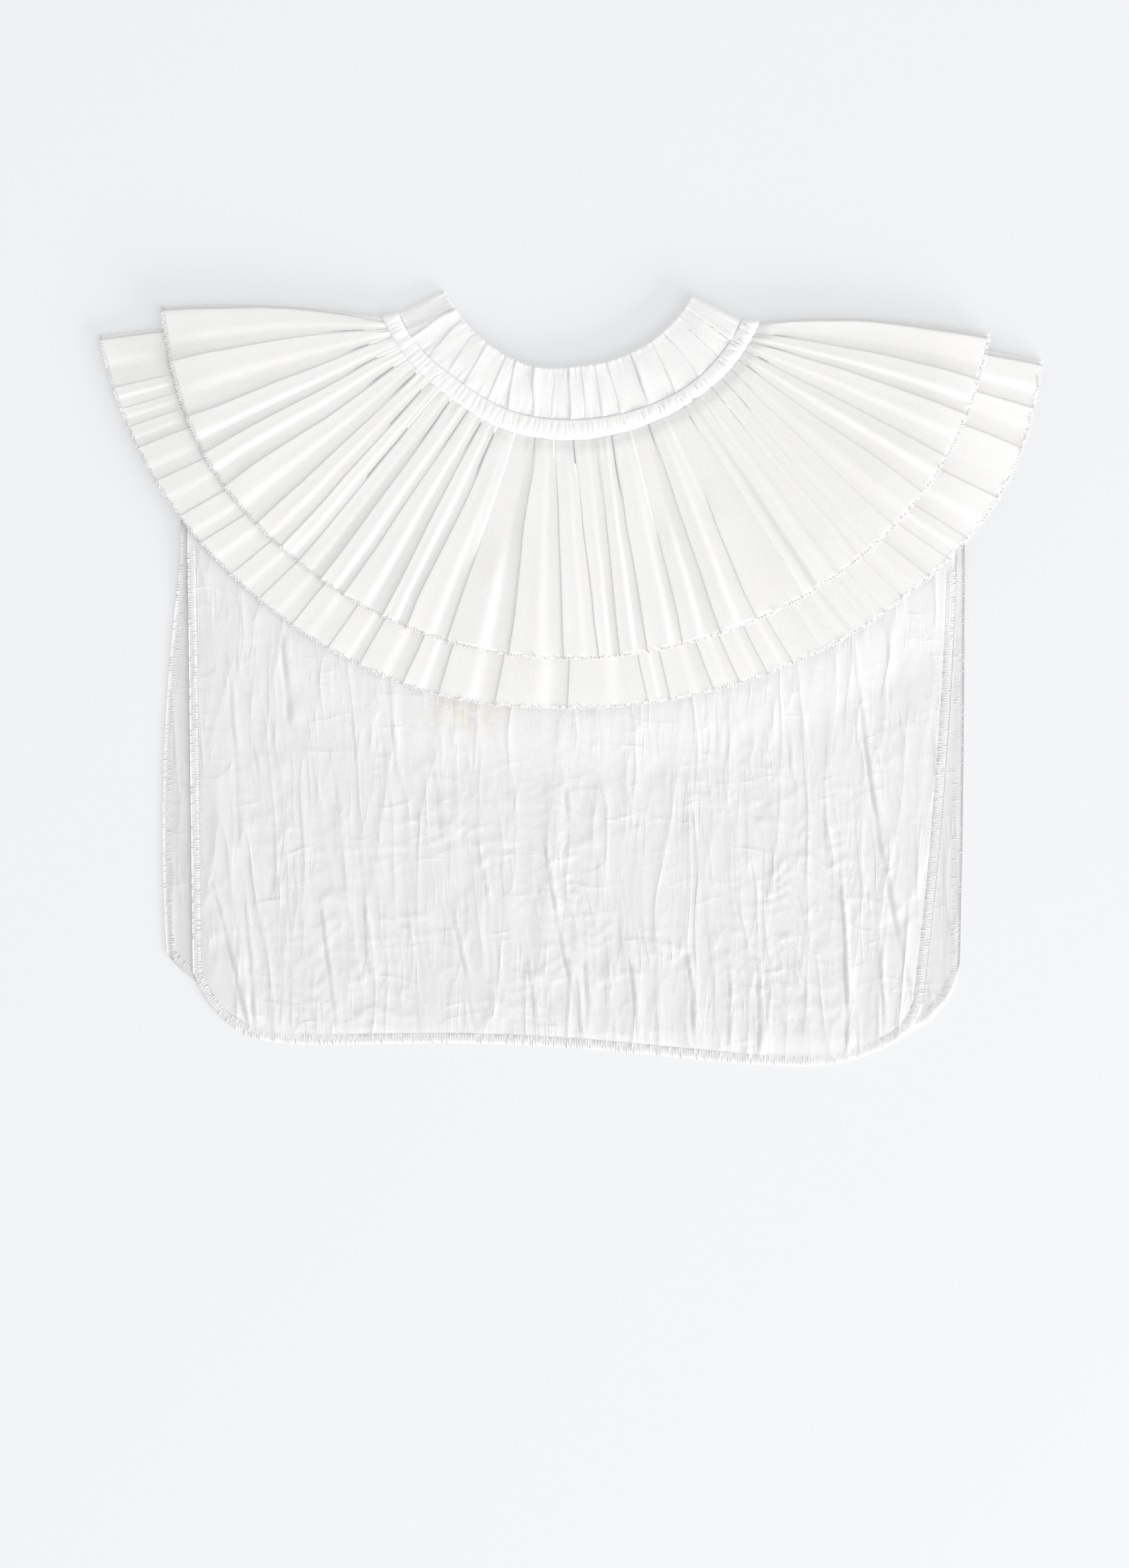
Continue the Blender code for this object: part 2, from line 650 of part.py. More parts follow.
def crease_height(crease, share):
    """Height of a crease at a share of the way from the lower hem to the bib's bottom."""
    if crease is None:
        return 0.0
    rises = smooth_step(crease.start - CREASE_FADE, crease.start + CREASE_FADE, share)
    falls = 1.0 - smooth_step(crease.end - CREASE_FADE, crease.end + CREASE_FADE, share)
    if crease.end >= 1.0:
        falls = 1.0
    return crease.height * MM * rises * falls


def bib_lines(sides, bottom, creases):
    """Columns of a bib from left to right: X at the hem, X at the bottom, bow and crease."""
    left, right = bottom[0].x * MM, bottom[-1].x * MM
    lines = [(sides.left_top * MM, left, -sides.left_bow * MM, None),
             (sides.right_top * MM, right, sides.right_bow * MM, None)]
    for crease in creases:
        for side in (-1, 0, 1):
            shift = side * CREASE_HALF_WIDTH
            lines.append((crease.hem_x * MM + shift, crease.bottom_x * MM + shift, 0.0,
                          crease if side == 0 else None))
    lines.sort(key=lambda line: line[0] + line[1])
    filled = [lines[0]]
    for line in lines[1:]:
        last = filled[-1]
        at = last[1]
        while at < line[1] - CORNER_STEP:
            at += CORNER_STEP if abs(at) > CORNER_X else BIB_STEP
            share = (at - last[1]) / (line[1] - last[1])
            if share > LAST_FILL_SHARE:
                break
            filled.append(tuple(a + (b - a) * share for a, b in zip(last[:3], line[:3])) + (None,))
        filled.append(line)
    return filled


def back_bib_stops(x):
    """Y at which a back bib column ends."""
    return [bib_bottom_y(BACK_BOTTOM, x)]


def front_bib_stops(x):
    """Y at which a front bib column starts to hang past the back bib, and at which it ends."""
    end = bib_bottom_y(FRONT_BOTTOM, x)
    return [max(end + OVERHANG_START, bib_bottom_y(BACK_BOTTOM, x) - OVERHANG_START), end]


def make_bib(name, lines, stops, height, rows_below, lag):
    """Build one bib as an open sheet between the tiers' halves."""
    columns = []
    for hem_x, bottom_x, bow, crease in lines:
        ends = stops(bottom_x)
        settled = hem_y(hem_x, SETTLE_END + lag)
        column = []
        for y in bib_rows(hem_x, ends, rows_below, lag):
            share = max(0.0, (settled - y) / (settled - ends[-1]))
            x = hem_x + (bottom_x - hem_x) * share + bow * 4 * share * (1 - share)
            lift = crease_height(crease, share) if share > 0.0 else 0.0
            column.append((Vector((x, y, height(Vector((x, y))) + lift)), Vector((0, 0, 1))))
        columns.append(column)
    rows = [[column[k] for column in columns] for k in range(len(columns[0]))]
    return add_wall(name, rows, CLOTH, closed=False)


def make_bibs():
    """Build the back bib and the front bib on it."""
    make_bib("back_bib", bib_lines(BACK_SIDES, BACK_BOTTOM, ()), back_bib_stops,
             back_bib_height, BACK_BIB_ROWS, 0.0)
    make_bib("front_bib", bib_lines(FRONT_SIDES, FRONT_BOTTOM, BIB_CREASES), front_bib_stops,
             front_bib_height, FRONT_BIB_ROWS, FRONT_LAG)


def cotton(name, colour, roughness):
    """Make a matt cotton material."""
    material = bpy.data.materials.new(name)
    material.use_nodes = True
    shader = material.node_tree.nodes["Principled BSDF"]
    shader.inputs["Base Color"].default_value = (*colour, 1.0)
    shader.inputs["Roughness"].default_value = roughness
    shader.inputs["Metallic"].default_value = 0.0
    material.diffuse_color = (*colour, 1.0)
    return material


def dress():
    """Give each piece its own cotton."""
    finishes = {
        "neck_band": ((0.90, 0.90, 0.91), 0.85),
        "neck_casing": ((0.92, 0.92, 0.92), 0.85),
        "upper_tier": ((0.90, 0.90, 0.90), 0.80),
        "lower_tier": ((0.88, 0.88, 0.88), 0.80),
        "front_bib": ((0.87, 0.87, 0.88), 0.90),
        "back_bib": ((0.85, 0.85, 0.86), 0.90),
    }
    for name, (colour, roughness) in finishes.items():
        bpy.data.objects[name].data.materials.append(cotton(f"{name}_cotton", colour, roughness))


def main():
    """Build the collar from its neck outwards."""
    for old in list(bpy.data.objects):
        bpy.data.objects.remove(old, do_unlink=True)
    make_band()
    make_casing()
    make_tiers()
    make_bibs()
    dress()


main()
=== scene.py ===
"""Looks of the pleated collar: thin cotton shells, stitches, finishes, floor, light and camera.

Lengths are in metres, except in tables and fields that say millimetres. Fan angles are in
degrees, measured at the fan's centre from the -Y direction and positive towards +X. Each shell
follows the solid that it stands for: the same fan, shoulders and layers and nearly all its folds,
with the upper tier's hem laid lower.
"""

import logging
import math
from dataclasses import dataclass, field
from enum import Enum
from typing import NamedTuple

import bpy
import numpy as np
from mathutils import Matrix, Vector


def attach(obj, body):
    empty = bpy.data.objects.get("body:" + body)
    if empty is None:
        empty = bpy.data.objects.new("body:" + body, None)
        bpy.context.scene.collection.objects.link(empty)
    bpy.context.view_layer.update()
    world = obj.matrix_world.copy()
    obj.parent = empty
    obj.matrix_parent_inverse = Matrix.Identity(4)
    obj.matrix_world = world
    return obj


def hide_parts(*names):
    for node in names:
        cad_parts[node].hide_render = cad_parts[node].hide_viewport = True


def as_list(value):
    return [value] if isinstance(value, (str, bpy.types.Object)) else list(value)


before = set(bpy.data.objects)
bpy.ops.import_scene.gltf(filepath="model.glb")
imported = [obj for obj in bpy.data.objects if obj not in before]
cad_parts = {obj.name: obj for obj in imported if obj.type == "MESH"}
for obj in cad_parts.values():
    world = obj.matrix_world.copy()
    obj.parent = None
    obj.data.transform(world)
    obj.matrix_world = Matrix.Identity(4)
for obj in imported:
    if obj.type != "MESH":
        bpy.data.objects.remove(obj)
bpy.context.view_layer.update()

log = logging.getLogger("collar")

MM = 0.001
Array = np.ndarray


class Edge(Enum):
    """Named edges of the fan, as columns of the ring table."""

    BAND_TOP = 1
    NECK_SEAM = 2
    CASING_EDGE = 3
    UPPER_HEM = 4
    LOWER_HEM = 5


class Faces(Enum):
    """Side that a pleat's folded edge looks to."""

    LEFT = -1
    RIGHT = 1


# Fan angle, then the radius of each named edge in millimetres
RINGS = (
    (-80, 77.3, 105.8, 115.2, 232.0, 268.6),
    (-60, 74.5, 103.9, 112.9, 236.0, 266.5),
    (-40, 72.2, 98.9, 109.3, 233.0, 262.9),
    (-20, 70.6, 98.4, 109.3, 231.3, 261.1),
    (0, 66.8, 96.8, 108.3, 229.6, 256.8),
    (20, 66.4, 97.5, 107.3, 230.3, 259.6),
    (40, 67.5, 100.4, 109.1, 234.6, 266.8),
    (60, 69.6, 101.8, 111.4, 237.9, 274.0),
    (80, 72.0, 102.4, 111.2, 235.4, 266.0),
)


class Pleat(NamedTuple):
    """A fold: fan angles at neck and hem, height in millimetres, share at which it starts."""

    neck: float
    hem: float
    height: float
    start: float = 0.0


UPPER_PLEATS = (
    Pleat(-65.3, -73.9, 2.2),
    Pleat(-62.8, -66.1, 2.6),
    Pleat(-59.4, -60.6, 2.6),
    Pleat(-55.5, -55.3, 2.8),
    Pleat(-50.6, -48.8, 2.4),
    Pleat(-46.4, -44.2, 2.2),
    Pleat(-42.6, -41.1, 1.6),
    Pleat(-38.2, -37.2, 2.6),
    Pleat(-32.2, -33.5, 2.2),
    Pleat(-27.2, -27.4, 2.6),
    Pleat(-22.5, -23.7, 2.4),
    Pleat(-17.0, -17.8, 2.2, 0.45),
    Pleat(-11.0, -9.1, 2.8),
    Pleat(-5.6, -1.4, 2.6),
    Pleat(0.0, 3.5, 2.0),
    Pleat(7.0, 6.4, 2.0),
    Pleat(11.6, 10.2, 2.2),
    Pleat(17.4, 15.2, 2.0, 0.35),
    Pleat(23.0, 20.7, 2.6),
    Pleat(28.6, 26.1, 2.2, 0.3),
    Pleat(34.6, 33.3, 2.4),
    Pleat(39.4, 37.3, 2.4),
    Pleat(43.8, 41.1, 1.8),
    Pleat(47.6, 44.2, 1.8),
    Pleat(51.4, 48.6, 2.2),
    Pleat(54.8, 54.5, 2.8),
    Pleat(57.9, 60.3, 2.6),
    Pleat(60.6, 66.6, 2.6),
    Pleat(63.0, 71.5, 2.0),
)

# Lower tier: fan angle at the hem and height in millimetres
LOWER_FOLDS = (
    (-72.9, 1.7), (-70.2, 1.2), (-67.8, 1.2), (-65.1, 1.8), (-60.6, 2.0),
    (-55.5, 2.0), (-51.5, 1.8), (-46.2, 1.6), (-41.7, 1.6), (-36.6, 2.0), (-31.5, 1.6),
    (-27.1, 1.6), (-21.4, 2.0), (-16.8, 2.0), (-9.9, 2.0), (-0.9, 2.0), (9.2, 1.6),
    (11.9, 1.6), (17.5, 1.8), (20.8, 1.8), (24.3, 1.6), (27.7, 1.6), (31.6, 1.8),
    (34.2, 1.6), (37.6, 1.8), (40.2, 1.4), (42.9, 1.6), (47.0, 1.8), (50.0, 1.4),
    (53.2, 1.8), (59.2, 2.0), (65.6, 2.0), (70.5, 1.6),
)
LOWER_NECK_SHARE = 0.86
LOWER_PLEATS = tuple(Pleat(hem * LOWER_NECK_SHARE, hem, height) for hem, height in LOWER_FOLDS)

# From this fan angle on, a pleat's folded edge looks to the right
PLEAT_TURN_ANGLE = 30.0


class LipPoint(NamedTuple):
    """A point round a fold: slide along the hem in millimetres, plain and folded, and its step.

    The step is 0 in the valley and 1 on the folded edge.
    """

    plain: float
    folded: float
    step: float


LIP_POINTS = (
    LipPoint(-0.60, -0.40, 0.00),
    LipPoint(-0.40, 0.00, 0.02),
    LipPoint(-0.24, 0.24, 0.11),
    LipPoint(-0.10, 0.28, 0.27),
    LipPoint(0.02, 0.14, 0.44),
    LipPoint(0.12, -0.04, 0.62),
    LipPoint(0.22, -0.12, 0.80),
    LipPoint(0.36, 0.02, 0.95),
    LipPoint(0.70, 0.60, 1.00),
)


# Shares of a pleat's height: the cloth in its valley, and just below its folded edge
VALLEY_RISE = 0.39
LIP_BASE = 0.74


class Gather(NamedTuple):
    """A gather of the band: fan angles at the top and at the seam, depth in millimetres."""

    top: float
    seam: float
    depth: float


BAND_GATHERS = (
    Gather(-62.5, -60.5, 1.7),
    Gather(-56.6, -52.5, 0.9),
    Gather(-48.7, -45.0, 0.5),
    Gather(-41.7, -38.4, 0.7),
    Gather(-31.6, -29.4, 0.7),
    Gather(-27.2, -22.0, 1.3),
    Gather(-18.3, -13.4, 1.3),
    Gather(-9.0, -7.4, 0.3),
    Gather(-2.6, -1.4, 1.2),
    Gather(3.4, 3.6, 0.6),
    Gather(10.0, 9.4, 0.7),
    Gather(15.4, 15.6, 0.8),
    Gather(27.3, 25.0, 1.1),
    Gather(38.6, 34.6, 0.6),
    Gather(46.0, 43.4, 0.6),
    Gather(54.4, 52.6, 0.8),
    Gather(61.0, 58.6, 1.2),
)

# Bottom edges of the bibs: X and Y in millimetres
FRONT_BOTTOM = (
    (-210.4, -163.5), (-206.8, -172.0), (-199.6, -183.2), (-188.6, -193.6), (-175.0, -200.6),
    (-150.0, -203.6), (-60.0, -203.0), (0.0, -205.6), (60.0, -211.0), (105.0, -215.0),
    (140.0, -215.4), (165.0, -209.6), (183.0, -200.6), (192.0, -190.5), (196.0, -180.5),
)
BACK_BOTTOM = (
    (-225.0, -153.0), (-218.0, -161.0), (-209.0, -168.0), (-197.0, -178.0), (-175.0, -189.0),
    (-100.0, -192.0), (0.0, -194.0), (100.0, -198.0), (180.0, -199.0), (197.0, -192.5),
    (207.0, -182.5), (214.0, -171.0), (216.5, -160.0),
)


class Crease(NamedTuple):
    """A crease of the front bib in millimetres: its two ends, sideways bend, height, width."""

    x: float
    y: float
    end_x: float
    end_y: float
    bend: float
    height: float
    width: float


# Each stands steep on its left or lower side and falls softly on the other
BIB_CREASES = (
    Crease(-160.0, 31.0, -154.2, -26.0, 0.0, 1.1, 6.0),
    Crease(-101.1, -5.0, -96.4, -53.3, 0.5, 0.8, 3.0),
    Crease(-76.0, -45.6, -71.4, -90.0, 0.4, 0.8, 3.4),
    Crease(-7.9, -43.0, -4.0, -104.0, 5.6, 0.9, 3.6),
    Crease(-17.5, -70.6, 9.4, -206.0, -1.8, 1.0, 2.8),
    Crease(-202.3, -103.4, -177.3, -198.0, 0.8, 0.9, 3.0),
    Crease(-183.1, -103.4, -174.6, -199.0, 0.8, 0.8, 2.6),
    Crease(-140.7, -118.0, -129.2, -202.0, 1.0, 0.9, 3.0),
    Crease(-115.7, -118.0, -111.8, -172.0, 0.6, 0.7, 2.6),
    Crease(-67.6, -118.0, -52.2, -202.0, 1.2, 0.8, 2.6),
    Crease(-48.3, -92.0, -43.7, -192.0, 0.8, 0.7, 2.4),
    Crease(-26.4, -136.0, -19.4, -190.0, 0.3, 0.8, 2.2),
    Crease(5.6, -100.0, 9.4, -206.0, 1.2, 0.7, 2.4),
    Crease(26.8, -100.0, 38.3, -206.0, 1.0, 0.8, 2.6),
    Crease(63.3, -136.0, 69.9, -208.0, 0.4, 1.1, 2.4),
    Crease(88.4, -158.0, 88.4, -211.0, 0.3, 0.9, 2.2),
    Crease(103.8, -149.0, 105.7, -212.0, 0.3, 1.1, 2.2),
    Crease(150.0, -98.0, 155.0, -212.0, 0.9, 1.3, 2.6),
    Crease(173.1, -143.0, 174.2, -206.0, 0.5, 1.1, 2.2),
    Crease(155.7, 34.0, 193.5, -186.0, -3.4, 1.1, 4.2),
    Crease(175.0, 40.0, 178.8, -30.0, 0.4, 0.7, 3.0),
    Crease(140.3, -55.0, 143.0, -102.0, 0.3, 0.5, 2.4),
    Crease(16.4, -16.0, 17.1, -50.0, 0.3, 0.4, 2.2),
    Crease(83.0, -8.0, 82.0, -48.0, 0.5, 0.4, 2.6),
    Crease(120.0, -20.0, 127.0, -95.0, 0.8, 0.4, 3.0),
    Crease(-190.0, 10.0, -183.0, -95.0, 1.0, 0.6, 3.4),
    Crease(-178.0, -20.0, -172.0, -70.0, 0.5, 0.4, 2.4),
    Crease(-133.0, -40.0, -124.0, -120.0, 1.2, 0.5, 5.0),
    Crease(-171.5, -104.0, -86.8, -94.9, 2.6, 0.6, 2.6),
    Crease(-86.8, -94.9, -56.0, -80.3, -2.0, 0.7, 2.4),
    Crease(-125.3, -138.0, -79.1, -133.4, 0.8, 0.7, 2.0),
    Crease(-133.0, -146.5, -71.4, -143.8, -0.8, 0.5, 1.8),
    Crease(-29.0, -118.8, 9.0, -116.0, 1.0, 0.4, 1.8),
    Crease(2.0, -132.0, 28.0, -130.0, -0.8, 0.4, 1.6),
    Crease(105.0, -122.0, 118.0, -118.0, 0.6, 0.6, 1.8),
    Crease(140.0, -119.0, 168.0, -117.0, 0.8, 0.5, 1.8),
    Crease(106.0, -149.0, 126.0, -143.0, 1.2, 0.6, 1.8),
    Crease(121.0, -68.0, 163.0, -62.0, 1.5, 0.5, 2.0),
    Crease(83.0, -78.0, 108.0, -68.0, 0.8, 0.5, 1.8),
    Crease(128.0, -186.0, 146.0, -182.0, 0.8, 0.4, 1.8),
)

# Heights in millimetres: the middle of each layer, the step over an edge, the sink of the wings
BACK_REST = 0.5
BACK_LOWER = 1.8
BACK_BIB = 3.1
FRONT_LOWER = 5.7
FRONT_UPPER_NECK = 7.5
FRONT_UPPER_HEM = 6.8
WALL_STEP = 0.95
WING_SINK = 2.8

# Lengths in metres: where a layer settles past the hem above it, and where the wings sink
SETTLE_START = 2.0 * MM
SETTLE_END = 15.0 * MM
BIB_SETTLE_END = 40.0 * MM
WING_HALF_WIDTH = 200.0 * MM
WING_SLOPE = 70.0 * MM

# Least heights in metres: of any point of cloth or thread, and of the path of hem stitches
LOWEST = 0.02 * MM
HEM_PATH_LOWEST = 1.0 * MM

# Share by which a bib's columns and rows crowd towards its edges
COLUMN_CROWDING = 0.11
ROW_CROWDING = 0.04


def smooth_step(low: float, high: float, value: Array | float) -> Array:
    """Blend smoothly between two values.

    Args:
        low: value at which the result is 0.
        high: value at which the result is 1.
        value: values to blend at.

    Returns:
        Shares from 0 to 1.
    """
    share = np.clip((np.asarray(value, float) - low) / (high - low), 0.0, 1.0)
    return share * share * (3.0 - 2.0 * share)


def smooth_curve(keys: Array, values: Array, at: Array | float) -> Array:
    """Read a smooth curve through points.

    Args:
        keys: rising places of the points.
        values: heights of the points.
        at: places to read the curve at.

    Returns:
        The curve's heights there, held level past its ends.
    """
    keys, values = np.asarray(keys, float), np.asarray(values, float)
    last = len(keys) - 1
    at = np.clip(np.asarray(at, float), keys[0], keys[-1])
    span = np.clip(np.searchsorted(keys, at, side="right") - 1, 0, last - 1)
    index = np.arange(last + 1)
    before, after = np.maximum(index - 1, 0), np.minimum(index + 1, last)
    slopes = (values[after] - values[before]) / (keys[after] - keys[before])
    step = keys[span + 1] - keys[span]
    share = (at - keys[span]) / step
    square, cube = share**2, share**3
    return (
        (2 * cube - 3 * square + 1) * values[span]
        + (cube - 2 * square + share) * step * slopes[span]
        + (3 * square - 2 * cube) * values[span + 1]
        + (cube - square) * step * slopes[span + 1]
    )


def soft_noise(x: Array, y: Array, seed: int) -> Array:
    """Smooth random values over a plane.

    Args:
        x: first coordinate, one unit to a cell.
        y: second coordinate, one unit to a cell.
        seed: number that fixes the pattern.

    Returns:
        Values from -1 to 1, in the shape of x and y together.
    """
    cells = 128
    table = np.random.default_rng(seed).uniform(-1.0, 1.0, (cells, cells))
    x, y = np.broadcast_arrays(np.asarray(x, float), np.asarray(y, float))
    left, low = np.floor(x).astype(int), np.floor(y).astype(int)
    across, up = smooth_step(0.0, 1.0, x - left), smooth_step(0.0, 1.0, y - low)
    left, low = left % cells, low % cells
    right, high = (left + 1) % cells, (low + 1) % cells
    bottom = table[low, left] * (1 - across) + table[low, right] * across
    top = table[high, left] * (1 - across) + table[high, right] * across
    return bottom * (1 - up) + top * up


def ridged(x: Array, y: Array, seed: int) -> Array:
    """Random sharp ridges, from 0 in the hollows to 1 on a ridge."""
    return (1.0 - np.abs(soft_noise(x, y, seed))) ** 3


@dataclass(frozen=True)
class Fan:
    """Plan that the neck, the casing and both tiers share."""

    centre_x: float = 1.9 * MM
    centre_y: float = 240.6 * MM

    def radius(self, edge: Edge, angle: Array | float) -> Array:
        """Radius of a named edge at fan angles."""
        rows = np.array(RINGS, float)
        return MM * smooth_curve(rows[:, 0], rows[:, edge.value], angle)

    def place(self, angle: Array, radius: Array) -> Array:
        """X and Y of points given by fan angle and radius.

        Args:
            angle: fan angle of each point.
            radius: its distance from the centre.

        Returns:
            X and Y in metres.
        """
        turn = np.radians(angle)
        return np.stack(
            [self.centre_x + radius * np.sin(turn), self.centre_y - radius * np.cos(turn)], axis=-1
        )

    def angle_of(self, plan: Array) -> Array:
        """Fan angles of points in X and Y.

        Args:
            plan: X and Y of points in metres.

        Returns:
            Fan angles in degrees.
        """
        return np.degrees(
            np.arctan2(plan[..., 0] - self.centre_x, self.centre_y - plan[..., 1])
        )

    def beyond(self, plan: Array, edge: Edge) -> Array:
        """How far points lie outside a named edge."""
        reach = np.hypot(plan[..., 0] - self.centre_x, plan[..., 1] - self.centre_y)
        return reach - self.radius(edge, self.angle_of(plan))

    def tangent(self, plan: Array) -> Array:
        """Level unit directions of rising fan angle."""
        turn = np.radians(self.angle_of(plan))
        return np.stack([np.cos(turn), np.sin(turn)], axis=-1)

    def edge_y(self, x: Array, edge: Edge, outside: float) -> Array:
        """Find where lines of constant X cross an edge of the fan.

        Args:
            x: places along X.
            edge: the named edge.
            outside: how far outside the edge the crossing lies.

        Returns:
            Y of the crossings.
        """
        angle = np.zeros_like(x)
        for _ in range(10):
            radius = self.radius(edge, angle) + outside
            angle = np.degrees(np.arcsin(np.clip((x - self.centre_x) / radius, -0.999, 0.999)))
        return self.centre_y - radius * np.cos(np.radians(angle))


FAN = Fan()


@dataclass(frozen=True)
class Shoulder:
    """Folded edge of a ring: its fan angles at the ring's two edges, and its bow in millimetres."""

    inner_angle: float
    outer_angle: float
    bow: float


@dataclass(frozen=True)
class RingForm:
    """A closed ring of cloth, folded flat at two shoulders."""

    inner: Edge
    outer: Edge
    left: Shoulder
    right: Shoulder
    inner_gap: float = 0.15 * MM
    outer_gap: float = 0.0

    def plan(
        self, inner_angle: Array, outer_angle: Array, share: Array, stand_out: Array | float = 0.0
    ) -> Array:
        """Place points of the ring in X and Y.

        Args:
            inner_angle: fan angle of each point's column at the inner edge.
            outer_angle: fan angle of each point's column at the outer edge.
            share: share of the way from the inner to the outer edge.
            stand_out: how far the column's outer end stands out.

        Returns:
            X and Y of the points.
        """
        near = FAN.place(inner_angle, FAN.radius(self.inner, inner_angle) + self.inner_gap)
        far = FAN.place(
            outer_angle, FAN.radius(self.outer, outer_angle) + self.outer_gap + stand_out
        )
        point = near + (far - near) * np.asarray(share)[..., None]
        is_left = np.asarray(outer_angle) < 0
        edge = np.where(is_left, self.left.outer_angle, self.right.outer_angle)
        bow = np.where(is_left, self.left.bow, self.right.bow) * MM
        close = smooth_step(22.0, 0.0, np.abs(edge - outer_angle))
        point[..., 1] += bow * 4.0 * share * (1.0 - share) * close
        return point

    def shoulder_plan(self, side: Faces, share: Array, inward: Array | float) -> Array:
        """Place points at a distance in from a folded shoulder.

        Args:
            side: which shoulder.
            share: share of the way from the inner to the outer edge.
            inward: distance in from the folded edge.

        Returns:
            X and Y of the points.
        """
        shoulder = self.left if side is Faces.LEFT else self.right
        angles = np.full_like(share, shoulder.inner_angle), np.full_like(
            share, shoulder.outer_angle
        )
        point = self.plan(*angles, share)
        return point - FAN.tangent(point) * side.value * np.asarray(inward)[..., None]


@dataclass
class Sheet:
    """A grid of middle points that becomes one thin closed shell.

    The rows run from the neck outwards and the columns towards rising fan angle, so that the
    outer face looks up on a front half.
    """

    name: str
    middle: Array
    thickness: Array | float
    closed: bool

    def normals(self) -> Array:
        """Unit normals of the grid, out of the sheet's outer face.

        Returns:
            Unit vectors, rows by columns by 3.
        """
        down = np.gradient(self.middle, axis=0)
        if self.closed:
            across = np.roll(self.middle, -1, axis=1) - np.roll(self.middle, 1, axis=1)
        else:
            across = np.gradient(self.middle, axis=1)
        normal = np.cross(down, across)
        return normal / np.maximum(np.linalg.norm(normal, axis=2, keepdims=True), 1e-12)

    def lengths(self) -> tuple[Array, Array]:
        """Lengths along the last row and down the middle column, for the weave.

        Returns:
            Both running lengths in metres, from 0.
        """
        ring = self.middle[-1]
        if self.closed:
            ring = np.vstack([ring, ring[:1]])
        around = np.linalg.norm(np.diff(ring, axis=0), axis=1)
        middle = self.middle[:, self.middle.shape[1] // 2]
        down = np.linalg.norm(np.diff(middle, axis=0), axis=1)
        return np.append(0.0, np.cumsum(around)), np.append(0.0, np.cumsum(down))

    def build(self, material: bpy.types.Material) -> bpy.types.Object:
        """Build the shell.

        Args:
            material: finish of the whole shell.

        Returns:
            The linked object.
        """
        rows, columns = self.middle.shape[:2]
        half = self.normals() * np.broadcast_to(self.thickness, (rows, columns))[..., None] / 2
        points = np.concatenate([(self.middle + half).reshape(-1, 3),
                                 (self.middle - half).reshape(-1, 3)])
        points[:, 2] = np.maximum(points[:, 2], LOWEST)
        spans = columns if self.closed else columns - 1
        down, across = np.meshgrid(np.arange(rows - 1), np.arange(spans), indexing="ij")
        down, across = down.ravel(), across.ravel()
        after = (across + 1) % columns
        layer = rows * columns
        around, along = self.lengths()

        def corners(row: Array, column: Array, unwrapped: Array) -> tuple[Array, Array]:
            """Vertex numbers and weave coordinates of one corner of each face."""
            return row * columns + column, np.stack([around[unwrapped], along[row]], axis=-1)

        near = corners(down, across, across)
        far = corners(down + 1, across, across)
        far_next = corners(down + 1, after, across + 1)
        near_next = corners(down, after, across + 1)
        top = [near, far, far_next, near_next]
        faces = [np.stack([c[0] for c in top], axis=1),
                 np.stack([c[0] + layer for c in reversed(top)], axis=1)]
        weave = [np.stack([c[1] for c in top], axis=1),
                 np.stack([c[1] for c in reversed(top)], axis=1)]
        lane = np.arange(spans)
        lane_after = (lane + 1) % columns
        for row, flip in ((0, False), (rows - 1, True)):
            a = corners(np.full(spans, row), lane, lane)
            b = corners(np.full(spans, row), lane_after, lane + 1)
            rim = [(a[0], a[1]), (b[0], b[1]), (b[0] + layer, b[1]), (a[0] + layer, a[1])]
            rim = rim[::-1] if flip else rim
            faces.append(np.stack([c[0] for c in rim], axis=1))
            weave.append(np.stack([c[1] for c in rim], axis=1))
        if not self.closed:
            step = np.arange(rows - 1)
            for column, flip in ((0, True), (columns - 1, False)):
                a = corners(step, np.full(rows - 1, column), np.full(rows - 1, column))
                b = corners(step + 1, np.full(rows - 1, column), np.full(rows - 1, column))
                rim = [(a[0], a[1]), (b[0], b[1]), (b[0] + layer, b[1]), (a[0] + layer, a[1])]
                rim = rim if not flip else rim[::-1]
                faces.append(np.stack([c[0] for c in rim][::-1], axis=1))
                weave.append(np.stack([c[1] for c in rim][::-1], axis=1))
        mesh = bpy.data.meshes.new(self.name)
        mesh.from_pydata(points.tolist(), [], np.concatenate(faces).tolist())
        layer_uv = mesh.uv_layers.new(name="weave")
        layer_uv.data.foreach_set("uv", np.concatenate(weave).astype(np.float32).ravel())
        mesh.shade_smooth()
        mesh.materials.append(material)
        return link_object(self.name, mesh)


def link_object(name: str, data: bpy.types.ID) -> bpy.types.Object:
    """Make an object round a mesh, a light or a camera, and link it.

    Args:
        name: the object's name.
        data: what it shows.

    Returns:
        The linked object.
    """
    made = bpy.data.objects.new(name, data)
    bpy.context.scene.collection.objects.link(made)
    return made


def wing_sink(x: Array) -> Array:
    """How far the front tiers sink beside the bibs, in millimetres."""
    return WING_SINK * smooth_step(0.0, WING_SLOPE, np.abs(x) - WING_HALF_WIDTH)


class Column(NamedTuple):
    """A column of a tier's front half.

    It has its fan angles at the neck and at the hem, and its slides along the hem in
    millimetres, plain and folded. It stands at a share of one fold's height and at a share of
    another's. It is on the cloth under a fold, from 0 to 1, and at a place among the folds.
    """

    neck: float
    hem: float
    plain: float
    folded: float
    owner: int
    own_share: float
    other: int
    other_share: float
    floor: float
    place: float


